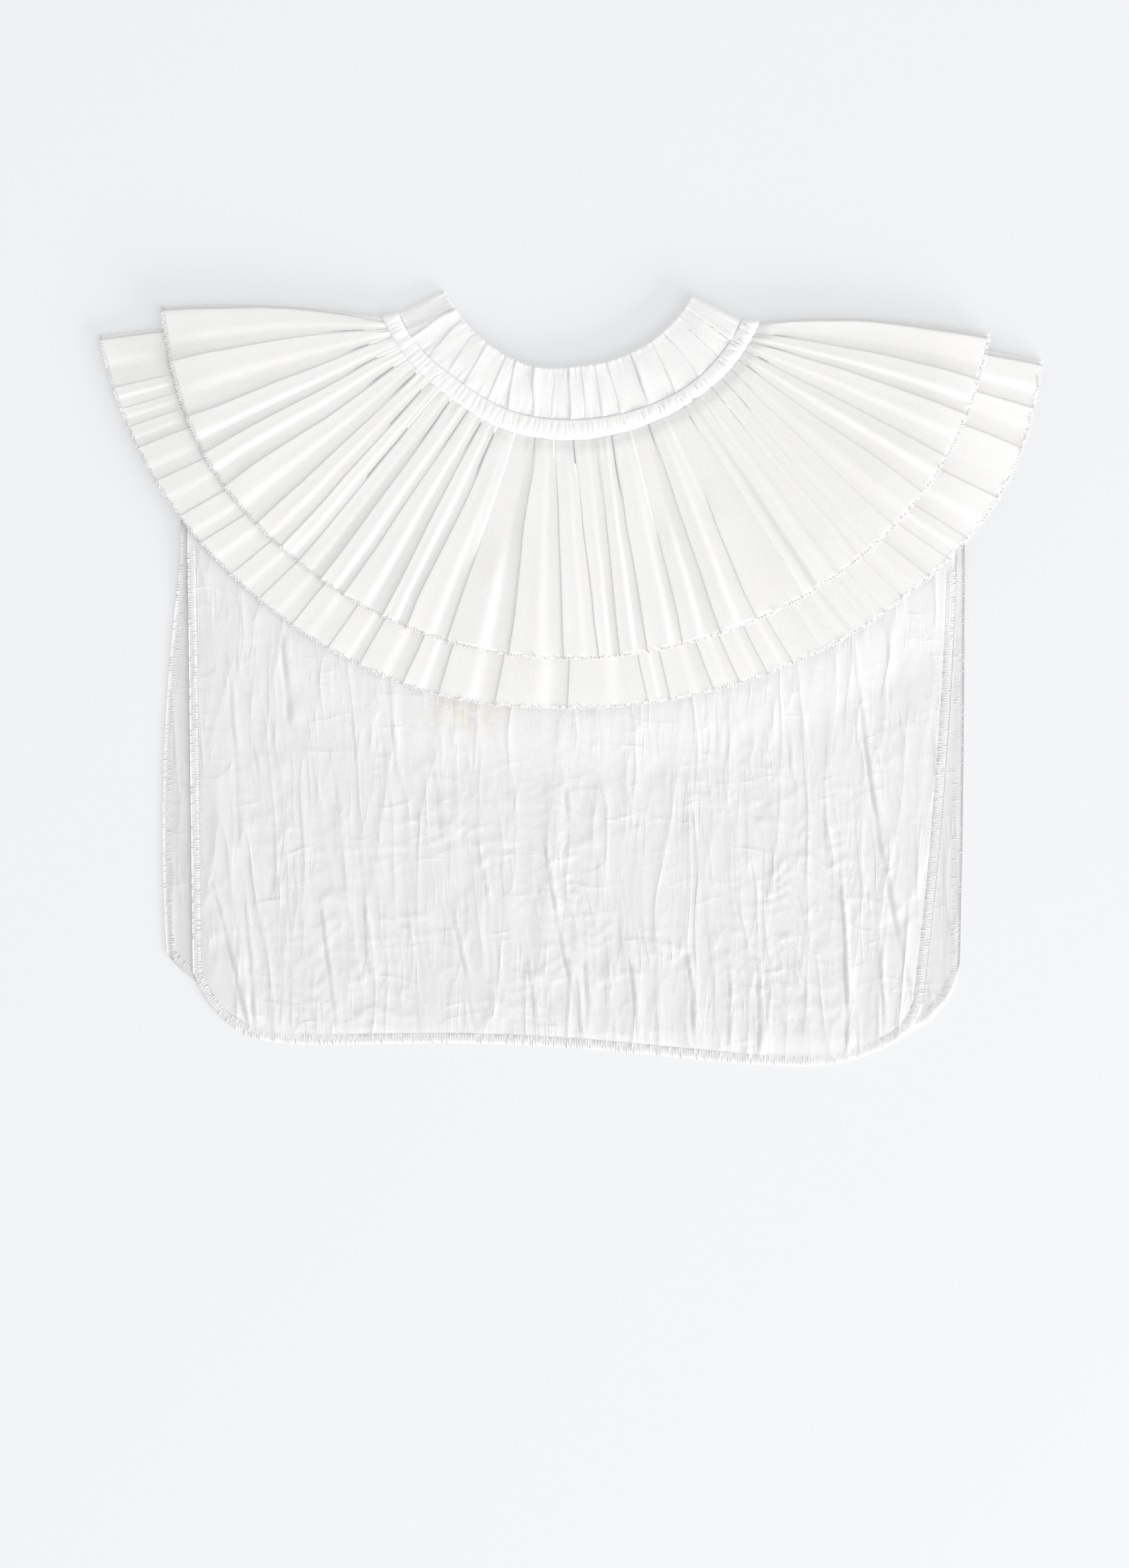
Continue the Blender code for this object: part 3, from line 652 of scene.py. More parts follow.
@dataclass
class PleatedTier:
    """A knife-pleated ring, its pleats folded over at the hem and open towards the neck.

    Lengths are in millimetres. The fold scale widens or narrows the cloth that is tucked under
    each folded edge, and the relief is the height of the pleats on the resting half.
    """

    name: str
    form: RingForm
    pleats: tuple[Pleat, ...]
    shares: Array
    crest: tuple[float, float]
    seed: int
    fold_scale: float = 1.0
    strip: float = 2.6
    strip_drop: float = 1.7
    turn_depth: float = 1.5
    thickness: float = 0.36
    relief: float = 0.5
    press: float = 0.7
    left_life: float = 0.86
    middle: Array = field(default=None, repr=False)

    def front_base(self, plan: Array, share: Array) -> Array:
        """Height of the front half at the bottom of its pleats, in millimetres.

        Args:
            plan: X and Y of points in metres.
            share: share of the way out from the neck.

        Returns:
            Heights in millimetres.
        """
        if self.form.outer is Edge.UPPER_HEM:
            level = FRONT_UPPER_NECK + (FRONT_UPPER_HEM - FRONT_UPPER_NECK) * share
            level = level - 1.1 * (1.0 - smooth_step(0.0, 0.07, share))
        else:
            level = np.full_like(share, FRONT_LOWER)
        return level - wing_sink(plan[..., 0])

    def back_base(self, plan: Array) -> Array:
        """Middle height of the back half, in millimetres.

        Args:
            plan: X and Y of points in metres.

        Returns:
            Heights in millimetres.
        """
        if self.form.outer is Edge.UPPER_HEM:
            return np.full(plan.shape[:-1], BACK_REST)
        settled = smooth_step(SETTLE_START, SETTLE_END, FAN.beyond(plan, Edge.UPPER_HEM))
        return BACK_LOWER + (BACK_REST - BACK_LOWER) * settled

    def folds(self) -> list[tuple[Pleat, Faces, float]]:
        """List every fold with the side it looks to and how far it drops beside a shoulder.

        Returns:
            Folds from left to right, with a strip beside each shoulder as the first and last.
        """
        inward = self.strip * MM
        left, right = self.form.left, self.form.right
        neck, hem = FAN.radius(self.form.inner, 0.0), FAN.radius(self.form.outer, 0.0)
        first = Pleat(left.inner_angle + math.degrees(inward / neck),
                      left.outer_angle + math.degrees(inward / hem), 1.3)
        last = Pleat(right.inner_angle - math.degrees(inward / neck),
                     right.outer_angle - math.degrees(inward / hem), 1.1)
        middle = [(row, Faces.RIGHT if row.hem > PLEAT_TURN_ANGLE else Faces.LEFT, 0.0)
                  for row in self.pleats]
        return [(first, Faces.LEFT, -self.strip_drop), *middle,
                (last, Faces.RIGHT, -self.strip_drop)]

    def profile(
        self, way: float, crest: float, tilt: float, dip: float
    ) -> tuple[float, float]:
        """Height of a facet: flat from its folded edge, down at its crest, up to the next edge.

        Args:
            way: share of the way from the folded edge to the next one.
            crest: share at which the facet turns down.
            tilt: rise from the folded edge to the crest.
            dip: depth of the valley behind the crest, from 0 to 1.

        Returns:
            Shares of its own pleat's height and of the next one's.
        """
        flat = 1.0 - 0.08 * math.sin(math.pi * min(1.0, way / crest))
        flat += tilt * min(1.0, way / crest)
        valley = LIP_BASE + (VALLEY_RISE - LIP_BASE) * dip
        down = float(smooth_step(crest - 0.11, crest + 0.15, way))
        own = flat * (1.0 - down) + valley * down
        up = max(0.0, (way - crest - 0.14) / (0.86 - crest)) ** 1.1
        return own * (1.0 - up), LIP_BASE * up

    def front(self) -> Array:
        """Place the front half's columns, from the left shoulder's strip to the right one's.

        Returns:
            Middle points, rows by columns by 3, in metres.
        """
        folds = self.folds()
        random = np.random.default_rng(self.seed)
        columns = []
        for at, (fold, faces, _) in enumerate(folds):
            points = LIP_POINTS if faces is Faces.LEFT else tuple(reversed(LIP_POINTS))
            sign = 1.0 if faces is Faces.LEFT else -1.0
            for point in points:
                columns.append(Column(fold.neck, fold.hem, sign * point.plain,
                                      sign * point.folded * self.fold_scale, at,
                                      LIP_BASE + (1.0 - LIP_BASE) * point.step,
                                      at, 0.0, 1.0 - point.step, at))
            if at + 1 == len(folds):
                break
            after, after_faces, _ = folds[at + 1]
            outward = min(1.0, abs(fold.hem) / 60.0)
            crest = self.crest[0] + (self.crest[1] - self.crest[0]) * outward
            crest += random.uniform(-0.09, 0.07)
            tilt = random.uniform(-0.26, 0.26) * float(
                0.55 + 0.45 * smooth_step(-35.0, -10.0, fold.hem)
                + 1.2 * smooth_step(20.0, 35.0, fold.hem))
            dip = random.uniform(0.35, 1.0)
            ways = np.concatenate([[0.12, 0.55 * crest, crest - 0.12, crest - 0.06, crest,
                                    crest + 0.06, crest + 0.12],
                                   np.linspace(crest + 0.18, 0.95, 3)])
            if after_faces is Faces.RIGHT and faces is Faces.RIGHT:
                ways = 1.0 - ways[::-1]
            for way in ways:
                if faces is Faces.LEFT and after_faces is Faces.LEFT:
                    own, beyond = self.profile(way, crest, tilt, dip)
                    lift = (at, own, at + 1, beyond)
                elif faces is Faces.RIGHT and after_faces is Faces.RIGHT:
                    own, beyond = self.profile(1.0 - way, crest, tilt, dip)
                    lift = (at + 1, own, at, beyond)
                else:
                    sag = 1.0 - 0.25 * float(np.sin(np.pi * way))
                    lift = (at, (1.0 - way) * sag, at + 1, way * sag)
                columns.append(Column(fold.neck + (after.neck - fold.neck) * way,
                                      fold.hem + (after.hem - fold.hem) * way,
                                      0.0, 0.0, *lift, 0.0, at + way))
        every = Column(*np.array(columns).T)
        neck, hem, plain, folded = (row[None, :] for row in every[:4])
        owner, other = every.owner.astype(int), every.other.astype(int)
        floor = every.floor
        share = self.shares[:, None]
        heights = self.fold_heights(folds)
        drops = np.array([drop for _, _, drop in folds])[None, :] * self.growth(share, 0.0)
        least = 0.75 * self.press * self.left_life
        closed = smooth_step(least, 2.0 * least, heights)[:, owner]
        slide = plain + (folded - plain) * closed + self.wander(every.place[None, :], share)
        slide = slide * MM
        stand_out = np.where(np.abs(folded) > 0, (1.0 - 2.0 * floor[None, :]) * 0.5 * MM, 0.0)
        neck, hem, share = np.broadcast_arrays(neck, hem, share)
        plan = self.form.plan(neck, hem, share, stand_out)
        base = self.front_base(plan, share)
        plan = plan + FAN.tangent(plan) * slide[..., None]
        rise = heights[:, owner] * every.own_share + heights[:, other] * every.other_share
        rise = rise + drops[:, owner] * floor
        rise += self.unevenness(neck, hem, share)
        return np.dstack([plan, (base + rise) * MM])

    def wander(self, place: Array, share: Array) -> Array:
        """How far each column strays from its straight line, in millimetres.

        Args:
            place: number of the fold to a column's left, and its share of the way to the next.
            share: share of the way down.

        Returns:
            Slides along the hem in millimetres.
        """
        stray = 0.9 * soft_noise(place, share * 2.4, self.seed + 3)
        stray = stray + 0.25 * soft_noise(place, share * 7.0, self.seed + 4)
        return stray * smooth_step(0.0, 0.2, share) * (1.0 - 0.6 * smooth_step(0.85, 1.0, share))

    def growth(self, share: Array, start: Array | float) -> Array:
        """Share of a pleat's height that stands at a share of the way down.

        Args:
            share: share of the way out from the neck.
            start: share at which the pleat starts, or 0 from the neck on.

        Returns:
            Shares from 0 to 1.
        """
        grown = 0.16 + 0.84 * np.minimum(1.0, share * 1.2)
        start = np.asarray(start, float)
        late = smooth_step(0.0, 0.25, share - start)
        return grown * np.where(start > 0.0, 0.06 + 0.94 * late, 1.0)

    def fold_heights(self, folds: list[tuple[Pleat, Faces, float]]) -> Array:
        """Heights of all folds at all rows, in millimetres.

        Args:
            folds: what folds() lists.

        Returns:
            Heights, rows by folds.
        """
        height = np.array([fold.height for fold, _, _ in folds])[None, :]
        start = np.array([fold.start for fold, _, _ in folds])[None, :]
        hem = np.array([fold.hem for fold, _, _ in folds])[None, :]
        lively = self.left_life + (1.0 - self.left_life) * smooth_step(-40.0, -12.0, hem)
        lively = lively + 0.55 * smooth_step(10.0, 40.0, hem)
        return self.press * lively * height * self.growth(self.shares[:, None], start)

    def unevenness(self, neck: Array, hem: Array, share: Array) -> Array:
        """Small waves of the front half: fine gathers at the neck, slack facets, a wavy hem.

        Args:
            neck: fan angle of each column at the neck.
            hem: fan angle of each column at the hem.
            share: share of the way down.

        Returns:
            Heights in millimetres.
        """
        at_neck = 1.0 - smooth_step(0.0, 0.17, share)
        gathers = 0.18 * soft_noise(neck * 0.85, share * 2.0, self.seed) * at_neck
        slack = 0.16 * soft_noise(hem * 0.22, share * 3.2, self.seed + 1)
        wave = 0.22 * soft_noise(hem * 0.45, share * 1.0, self.seed + 2)
        return gathers + slack + wave * smooth_step(0.8, 1.0, share)

    def back(self) -> Array:
        """Place the back half's columns from the right shoulder to the left one.

        Returns:
            Middle points, rows by columns by 3, in metres.
        """
        columns = []
        folds = [Pleat(-row.neck * 0.96, -row.hem * 0.96, 1.0) for row in reversed(self.pleats)]
        for fold, after in zip(folds, folds[1:] + [None]):
            hem_step = math.degrees(0.35 * MM / FAN.radius(self.form.outer, 0.0))
            columns.append((fold.neck - 2 * hem_step, fold.hem - hem_step, 0.0))
            columns.append((fold.neck + 2 * hem_step, fold.hem + hem_step, 1.0))
            if after is not None:
                for way in (0.3, 0.58, 0.8, 0.93):
                    columns.append((fold.neck + (after.neck - fold.neck) * way,
                                    fold.hem + (after.hem - fold.hem) * way,
                                    self.profile(way, 0.55, 0.0, 1.0)[0]))
        table = np.array(columns[::-1])
        share = self.shares[:, None]
        neck, hem, share = np.broadcast_arrays(table[:, 0][None, :], table[:, 1][None, :], share)
        plan = self.form.plan(neck, hem, share)
        relief = self.relief * table[:, 2][None, :] * self.growth(share, 0.0)
        height = self.back_base(plan) + 0.2 - relief
        return np.dstack([plan, height * MM])

    def shoulder(self, side: Faces) -> Array:
        """Place a shoulder's columns, from the front's strip round the edge to the back.

        Args:
            side: which shoulder.

        Returns:
            Middle points, rows by columns by 3, in metres, from the front to the back.
        """
        share = self.shares
        depth = self.turn_depth * MM
        level = self.form.shoulder_plan(side, share, np.full_like(share, depth))
        drop = self.strip_drop * self.growth(share, 0.0)
        top = self.front_base(level, share) - drop
        bottom = self.back_base(level)
        centre, half = (top + bottom) / 2, (top - bottom) / 2
        columns = []
        plan = self.form.shoulder_plan(side, share, np.full_like(share, depth + 0.45 * MM))
        columns.append(np.column_stack([plan, top * MM]))
        for turn in np.linspace(math.pi / 2, -math.pi / 2, 13):
            inward = np.full_like(share, depth * (1.0 - math.cos(turn)))
            plan = self.form.shoulder_plan(side, share, inward)
            columns.append(np.column_stack([plan, (centre + half * math.sin(turn)) * MM]))
        return np.stack(columns, axis=1)

    def grid(self) -> Array:
        """Join the two halves and shoulders into one closed grid.

        Returns:
            Middle points, rows by columns by 3, in metres.
        """
        right = self.shoulder(Faces.RIGHT)
        left = self.shoulder(Faces.LEFT)[:, ::-1]
        return np.concatenate([self.front(), right, self.back(), left], axis=1)

    def build(self, material: bpy.types.Material) -> bpy.types.Object:
        """Build the tier's shell and keep its middle grid for the hem stitches."""
        self.middle = self.grid()
        return Sheet(self.name, self.middle, self.thickness * MM, closed=True).build(material)


@dataclass
class NeckRing:
    """The stand band or the casing: a gathered ring with a rounded cross-section.

    Heights and lengths are in millimetres.
    """

    name: str
    form: RingForm
    shares: Array
    front_columns: int
    back_columns: int
    wall: float
    turn_depth: float
    back_level: float
    left_drop: float = 0.0

    def front_level(self, share: Array) -> Array:
        """Middle height of the front half at shares of the way out, in millimetres."""
        raise NotImplementedError

    def ripple(self, inner: Array, outer: Array, share: Array) -> Array:
        """Height of the gathers over the middle level, in millimetres."""
        raise NotImplementedError

    def thickness(self) -> Array:
        """Wall thickness of each row, rounded off at both edges."""
        raise NotImplementedError

    def half(self, count: int, backwards: bool) -> tuple[Array, Array, Array]:
        """Fan angles and shares of one half's grid.

        Args:
            count: number of columns.
            backwards: whether they run from the right shoulder to the left one.

        Returns:
            Fan angles at the inner and the outer edge, and shares, each rows by columns.
        """
        left, right = self.form.left, self.form.right
        way = np.linspace(0.0, 1.0, count)[None, :]
        way = way[:, ::-1] if backwards else way
        inner_in = math.degrees(self.turn_depth * MM / FAN.radius(self.form.inner, 0.0))
        outer_in = math.degrees(self.turn_depth * MM / FAN.radius(self.form.outer, 0.0))
        inner = left.inner_angle + inner_in + (
            right.inner_angle - left.inner_angle - 2 * inner_in) * way
        outer = left.outer_angle + outer_in + (
            right.outer_angle - left.outer_angle - 2 * outer_in) * way
        return np.broadcast_arrays(inner, outer, self.shares[:, None])

    def turn(self, side: Faces) -> Array:
        """Place one shoulder's columns from the front to the back.

        Args:
            side: which shoulder.

        Returns:
            Middle points, rows by columns by 3, in metres.
        """
        share = self.shares
        top = self.front_level(share) + (self.left_drop if side is Faces.LEFT else 0.0)
        centre, half = (top + self.back_level) / 2, (top - self.back_level) / 2
        columns = []
        for turn in np.linspace(math.pi / 2, -math.pi / 2, 15)[1:-1]:
            inward = self.turn_depth * MM * (1.0 - math.cos(turn))
            plan = self.form.shoulder_plan(side, share, np.full_like(share, inward))
            wobble = 0.12 * soft_noise(share * 5.0, np.full_like(share, turn), 21 + side.value)
            columns.append(
                np.column_stack([plan, (centre + half * math.sin(turn) + wobble) * MM]))
        return np.stack(columns, axis=1)

    def build(self, material: bpy.types.Material) -> bpy.types.Object:
        """Build the ring's shell.

        Args:
            material: finish of the whole shell.

        Returns:
            The linked object.
        """
        inner, outer, share = self.half(self.front_columns, backwards=False)
        plan = self.form.plan(inner, outer, share)
        height = self.front_level(share) + self.ripple(inner, outer, share)
        front = np.dstack([plan, height * MM])
        inner, outer, share = self.half(self.back_columns, backwards=True)
        plan = self.form.plan(inner, outer, share)
        height = self.back_level - 0.25 * self.ripple(inner, outer, share)
        back = np.dstack([plan, height * MM])
        middle = np.concatenate(
            [front, self.turn(Faces.RIGHT), back, self.turn(Faces.LEFT)[:, ::-1]], axis=1)
        return Sheet(self.name, middle, self.thickness()[:, None] * MM, closed=True).build(
            material)


@dataclass
class StandBand(NeckRing):
    """The gathered stand band of folded cotton."""

    gathers: tuple[Gather, ...] = BAND_GATHERS

    def front_level(self, share: Array) -> Array:
        """Rise from the top edge to the seam, and dip at the seam.

        Args:
            share: share of the way out from the neck.

        Returns:
            Heights in millimetres.
        """
        puff = 0.4 * np.sin(np.pi * np.clip(share, 0.0, 1.0))
        roll = 0.8 * (1.0 - smooth_step(0.0, 0.06, share))
        return 5.2 + 1.4 * share + puff - roll - 0.3 * smooth_step(0.96, 1.0, share)

    def ripple(self, inner: Array, outer: Array, share: Array) -> Array:
        """Folds from the gather table, with fine puckers at both edges.

        Args:
            inner: fan angle of each point's column at the inner edge.
            outer: fan angle of each point's column at the outer edge.
            share: share of the way out from the neck.

        Returns:
            Heights in millimetres.
        """
        angle = inner + (outer - inner) * share
        reach = (FAN.radius(Edge.BAND_TOP, angle) * (1 - share)
                 + FAN.radius(Edge.NECK_SEAM, angle) * share) / MM
        height = np.zeros_like(angle)
        for at, gather in enumerate(self.gathers):
            line = gather.top + (gather.seam - gather.top) * share
            line = line + 0.35 * soft_noise(share * 3.0, np.full_like(share, at * 3.7), 31)
            off = np.radians(angle - line) * reach
            strength = gather.depth * (0.75 + 0.25 * np.cos(2 * np.pi * (share - at * 0.37)))
            over = smooth_step(-0.25, 0.35, off) * np.exp(-np.maximum(off - 0.35, 0.0) / 4.0)
            groove = -0.22 * np.exp(-(((off + 0.35) / 0.4) ** 2))
            lively = 0.85 + 0.75 * float(smooth_step(12.0, 32.0, gather.top))
            height += lively * strength * (0.6 * over + groove)
        end = 0.28 * (1.0 - smooth_step(-63.5, -61.8, angle + 2.0 * share - 1.0))
        end = end + 0.30 * smooth_step(-62.5, -70.0, angle)
        height += self.left_drop * (0.42 * smooth_step(-38.0, -64.0, angle) + end)
        deep = 0.35 + 0.55 * smooth_step(-26.0, -8.0, angle)
        deep = deep * (1.0 + 0.4 * soft_noise(angle * 0.5, np.zeros_like(share), 37))
        height -= deep * smooth_step(0.968, 0.995, share)
        seam_pucker = 0.16 * soft_noise(angle * 1.1, share * 2.0, 33) * smooth_step(0.55, 1, share)
        top_pucker = 0.12 * soft_noise(angle * 0.9, share * 2.5, 34) * smooth_step(0.45, 0, share)
        frill = 0.28 * soft_noise(angle * 1.7, share * 3.0, 36) * smooth_step(0.10, 0.0, share)
        slack = 0.18 * soft_noise(angle * 0.25, share * 2.0, 35) + frill
        return height + seam_pucker + top_pucker + slack

    def thickness(self) -> Array:
        """Two layers with a rolled top edge and a rounded seam edge.

        Returns:
            Thickness of each row in millimetres.
        """
        share = self.shares
        rounding = np.sqrt(np.clip(1.0 - (1.0 - np.minimum(1.0, share / 0.03)) ** 2, 0.02, 1.0))
        seam = np.sqrt(np.clip(1.0 - (1.0 - np.minimum(1.0, (1 - share) / 0.015)) ** 2, 0.1, 1))
        roll = 0.35 * np.exp(-(((share - 0.035) / 0.03) ** 2))
        return self.wall * rounding * seam * (0.75 + roll)


@dataclass
class ElasticCasing(NeckRing):
    """The narrow casing, finely gathered over its elastic."""

    crown: float = 0.4

    def front_level(self, share: Array) -> Array:
        """Level of the elastic with a low crown along its middle."""
        return 6.2 + self.crown * np.sin(np.pi * np.clip(share, 0.0, 1.0))

    def ripple(self, inner: Array, outer: Array, share: Array) -> Array:
        """Fine uneven gathers across the casing.

        Args:
            inner: fan angle of each point's column at the inner edge.
            outer: fan angle of each point's column at the outer edge.
            share: share of the way out from the neck.

        Returns:
            Heights in millimetres.
        """
        angle = inner + (outer - inner) * share
        lean = angle + 0.8 * soft_noise(angle * 0.2, share * 1.5, 41)
        drift = 2.2 * soft_noise(angle * 0.3, np.zeros_like(share), 42)
        fine = np.abs(np.sin(np.radians(lean * 88.0) + drift))
        height = 0.34 * (1.0 - fine) ** 1.6
        broad = 0.22 * soft_noise(angle * 0.55, share * 1.2, 43)
        tiny = 0.12 * soft_noise(angle * 2.4, share * 3.0, 44)
        loose = 0.8 + 1.1 * smooth_step(5.0, 45.0, angle)
        across = np.sin(np.pi * np.clip(share, 0.06, 0.985)) ** 0.5
        return 0.6 * (broad + tiny - height) * loose * across

    def thickness(self) -> Array:
        """Thick over the elastic and rounded to both edges.

        Returns:
            Thickness of each row in millimetres.
        """
        across = np.abs(2.0 * self.shares - 1.0)
        sharpness = np.where(self.shares < 0.5, 20.0, 4.0)
        return self.wall * np.sqrt(np.clip(1.0 - across**sharpness, 0.02, 1.0))


@dataclass
class BibSides:
    """Side edges of a bib in millimetres: X at the hem, and how far they bow sideways."""

    left_top: float
    right_top: float
    left_bow: float
    right_bow: float


@dataclass
class Bib:
    """A bib of crinkled cotton with an overlocked edge, between the tiers' halves.

    The crinkle is its own crease table and seeded waves, in millimetres.
    """

    name: str
    sides: BibSides
    bottom: tuple[tuple[float, float], ...]
    creases: tuple[Crease, ...]
    columns: int
    hidden_rows: int
    rows: int
    seed: int
    on_back: bool
    crinkle: float = 1.0
    thickness: float = 0.32
    band: float = 5.0
    path: Array = field(default=None, repr=False)
    needle_path: Array = field(default=None, repr=False)

    def bottom_y(self, x: Array) -> Array:
        """Y of the bottom edge."""
        table = np.array(self.bottom)
        return MM * smooth_curve(table[:, 0], table[:, 1], x / MM)

    def column_x(self, way: Array, share: Array) -> Array:
        """X of columns at shares of the way from the hem to the bottom.

        Args:
            way: share of the way from the left side to the right.
            share: share of the way from the hem down.

        Returns:
            X in metres.
        """
        top = self.sides.left_top + (self.sides.right_top - self.sides.left_top) * way
        end = self.bottom[0][0] + (self.bottom[-1][0] - self.bottom[0][0]) * way
        bow = -self.sides.left_bow * smooth_step(0.14, 0.0, way)
        bow = bow + self.sides.right_bow * smooth_step(0.86, 1.0, way)
        share = np.clip(share, 0.0, 1.0)
        return MM * (top + (end - top) * share + bow * 4.0 * share * (1.0 - share))

    def plan(self) -> Array:
        """Place the grid in X and Y, from the top edge down.

        Returns:
            X and Y, rows by columns by 2, in metres.
        """
        even = np.linspace(0.0, 1.0, self.columns)
        way = even - COLUMN_CROWDING * np.sin(2 * np.pi * even) / (2 * np.pi)
        hem_x = self.column_x(way, np.zeros_like(way))
        settle = FAN.edge_y(hem_x, Edge.LOWER_HEM, SETTLE_END)
        hem = FAN.edge_y(hem_x, Edge.LOWER_HEM, -4.0 * MM)
        top = self.top_y(hem_x)
        end = self.bottom_y(self.column_x(way, np.ones_like(way)))
        hidden = np.linspace(0.0, 1.0, self.hidden_rows)[:, None]
        shown = np.linspace(0.0, 1.0, self.rows)[1:, None]
        shown = shown + ROW_CROWDING * np.sin(2 * np.pi * shown) / (2 * np.pi)
        y = np.concatenate([top + (hem - top) * hidden, hem + (end - hem) * shown])
        share = np.clip((settle - y) / (settle - end), 0.0, 1.0)
        x = self.column_x(way[None, :], share)
        return np.dstack([x, y])

    def top_y(self, x: Array) -> Array:
        """Y of the hidden top edge: the neck's curve, or the folded shoulder beside it.

        Args:
            x: places along X.

        Returns:
            Y in metres.
        """
        made = []
        neck_reach = FAN.radius(Edge.CASING_EDGE, 0.0) + 1.2 * MM
        for place in x:
            side = Faces.LEFT if place < FAN.centre_x else Faces.RIGHT
            share = np.linspace(0.0, 1.0, 40)
            line = LOWER_FORM.shoulder_plan(side, share, np.full_like(share, 8.0 * MM))
            order = np.argsort(line[:, 0])
            if (place - line[0, 0]) * side.value > 0:
                made.append(float(np.interp(place, line[order, 0], line[order, 1])))
                continue
            reach = neck_reach
            for _ in range(6):
                angle = math.degrees(math.asin((place - FAN.centre_x) / reach))
                reach = float(FAN.radius(Edge.CASING_EDGE, angle)) + 1.2 * MM
            neck_y = FAN.centre_y - reach * math.cos(math.radians(angle))
            made.append(min(float(line[0, 1]), neck_y))
        return np.array(made)

    def outline(self, inset: float) -> Array:
        """X and Y along the shown edge, from the left side round the bottom to the right.

        Args:
            inset: distance in from the edge, in metres.

        Returns:
            Points in order.
        """
        share = np.linspace(-0.04, 1.0, 160)
        edges = []
        for way in (0.0, 1.0):
            hem_x = self.column_x(np.array([way]), np.array([0.0]))
            settle = FAN.edge_y(hem_x, Edge.LOWER_HEM, SETTLE_END)[0]
            end = self.bottom_y(self.column_x(np.array([way]), np.array([1.0])))[0]
            x = self.column_x(np.full_like(share, way), share)
            edges.append(np.column_stack([x, settle + (end - settle) * share]))
        across = np.linspace(self.bottom[0][0], self.bottom[-1][0], 500)[1:-1] * MM
        under = np.column_stack([across, self.bottom_y(across)])
        line = np.concatenate([edges[0], under, edges[1][::-1]])
        if inset == 0.0:
            return line
        way = np.gradient(line, axis=0)
        way = way / np.linalg.norm(way, axis=1, keepdims=True)
        for _ in range(12):
            way[1:-1] = (way[:-2] + way[1:-1] + way[2:]) / 3.0
        way = way / np.linalg.norm(way, axis=1, keepdims=True)
        return line + np.column_stack([-way[:, 1], way[:, 0]]) * inset

    def from_edge(self, plan: Array) -> Array:
        """Distance of points from the shown edge, in millimetres.

        Args:
            plan: X and Y of points in metres.

        Returns:
            Distances in millimetres.
        """
        line = self.outline(0.0)[::2]
        flat = plan.reshape(-1, 2)
        nearest = np.full(len(flat), 1e9)
        for start in range(0, len(flat), 4000):
            part = flat[start:start + 4000]
            gap = np.linalg.norm(part[:, None, :] - line[None, :, :], axis=2)
            nearest[start:start + 4000] = gap.min(axis=1)
        return nearest.reshape(plan.shape[:-1]) / MM

    def level(self, plan: Array) -> Array:
        """Height of the bib's layer before its crinkle, in millimetres.

        Args:
            plan: X and Y of points in metres.

        Returns:
            Heights in millimetres.
        """
        lag = 1.5 * MM if self.on_back else 0.0
        beyond = FAN.beyond(plan, Edge.LOWER_HEM) - lag
        settled = smooth_step(-2.0 * MM, BIB_SETTLE_END, beyond)
        height = BACK_BIB + (BACK_REST - BACK_BIB) * settled
        if self.on_back:
            table = np.array(BACK_BOTTOM)
            edge = MM * smooth_curve(table[:, 0], table[:, 1], plan[..., 0] / MM)
            past = edge - 1.0 * MM - plan[..., 1]
            height = height + WALL_STEP * (1.0 - 0.55 * smooth_step(0.0, 14.0 * MM, past))
        return height

    def wrinkles(self, plan: Array) -> Array:
        """Height of the creases and crinkle, in millimetres.

        Args:
            plan: X and Y of points in metres.

        Returns:
            Heights in millimetres.
        """
        x, y = plan[..., 0] / MM, plan[..., 1] / MM
        height = np.zeros_like(x)
        for crease in self.creases:
            start, end = np.array([crease.x, crease.y]), np.array([crease.end_x, crease.end_y])
            length = np.linalg.norm(end - start)
            way = (end - start) / length
            along = ((x - start[0]) * way[0] + (y - start[1]) * way[1]) / length
            bow = crease.bend * 4.0 * along * (1.0 - along)
            wander = 0.7 * soft_noise(along * length / 16.0, np.full_like(x, crease.x), 51)
            wander += 0.3 * soft_noise(along * length / 5.0, np.full_like(x, crease.x), 52)
            off = -(x - start[0]) * way[1] + (y - start[1]) * way[0] - bow - wander
            width = crease.width * (0.5 + 0.8 * smooth_step(0.0, 0.9, along))
            breaks = soft_noise(along * length / 13.0, np.full_like(x, crease.y), 53)
            uneven = np.maximum(0.72 + 0.62 * breaks, 0.12)
            ends = smooth_step(-0.02, 0.25, along) * (1.0 - smooth_step(0.88, 1.02, along))
            soft = np.exp(-((np.maximum(off, 0.0) / width) ** 2))
            steep = np.exp(-((np.minimum(off, 0.0) / (0.26 * width)) ** 2))
            groove = 0.5 * np.exp(-(((off + 0.42 * width) / (0.26 * width)) ** 2))
            height += 0.60 * crease.height * ends * uneven * (soft * steep - groove)
        lean = x - 0.10 * (y + 60.0) * np.clip(x / 150.0, -0.6, 1.0)
        warped = lean + 3.0 * soft_noise(x / 30.0, y / 45.0, self.seed)
        broad = 0.42 * soft_noise(warped / 13.0, y / 70.0, self.seed + 1)
        streak = 0.52 * ridged(warped / 9.5, y / 36.0, self.seed + 2) ** 1.7
        calm = smooth_step(-0.5, 0.4, soft_noise(x / 40.0, y / 45.0, self.seed + 9))
        fine = 0.28 * calm * ridged(warped / 4.8, y / 19.0, self.seed + 3) ** 1.6
        aside = x + 6.0 * soft_noise(y / 13.0, x / 31.0, self.seed + 11)
        below = y + 7.0 * soft_noise(x / 12.0, y / 27.0, self.seed + 12)
        dent = -0.9 * smooth_step(
            0.42, 0.95, soft_noise(aside / 15.0, below / 19.0, self.seed + 8))
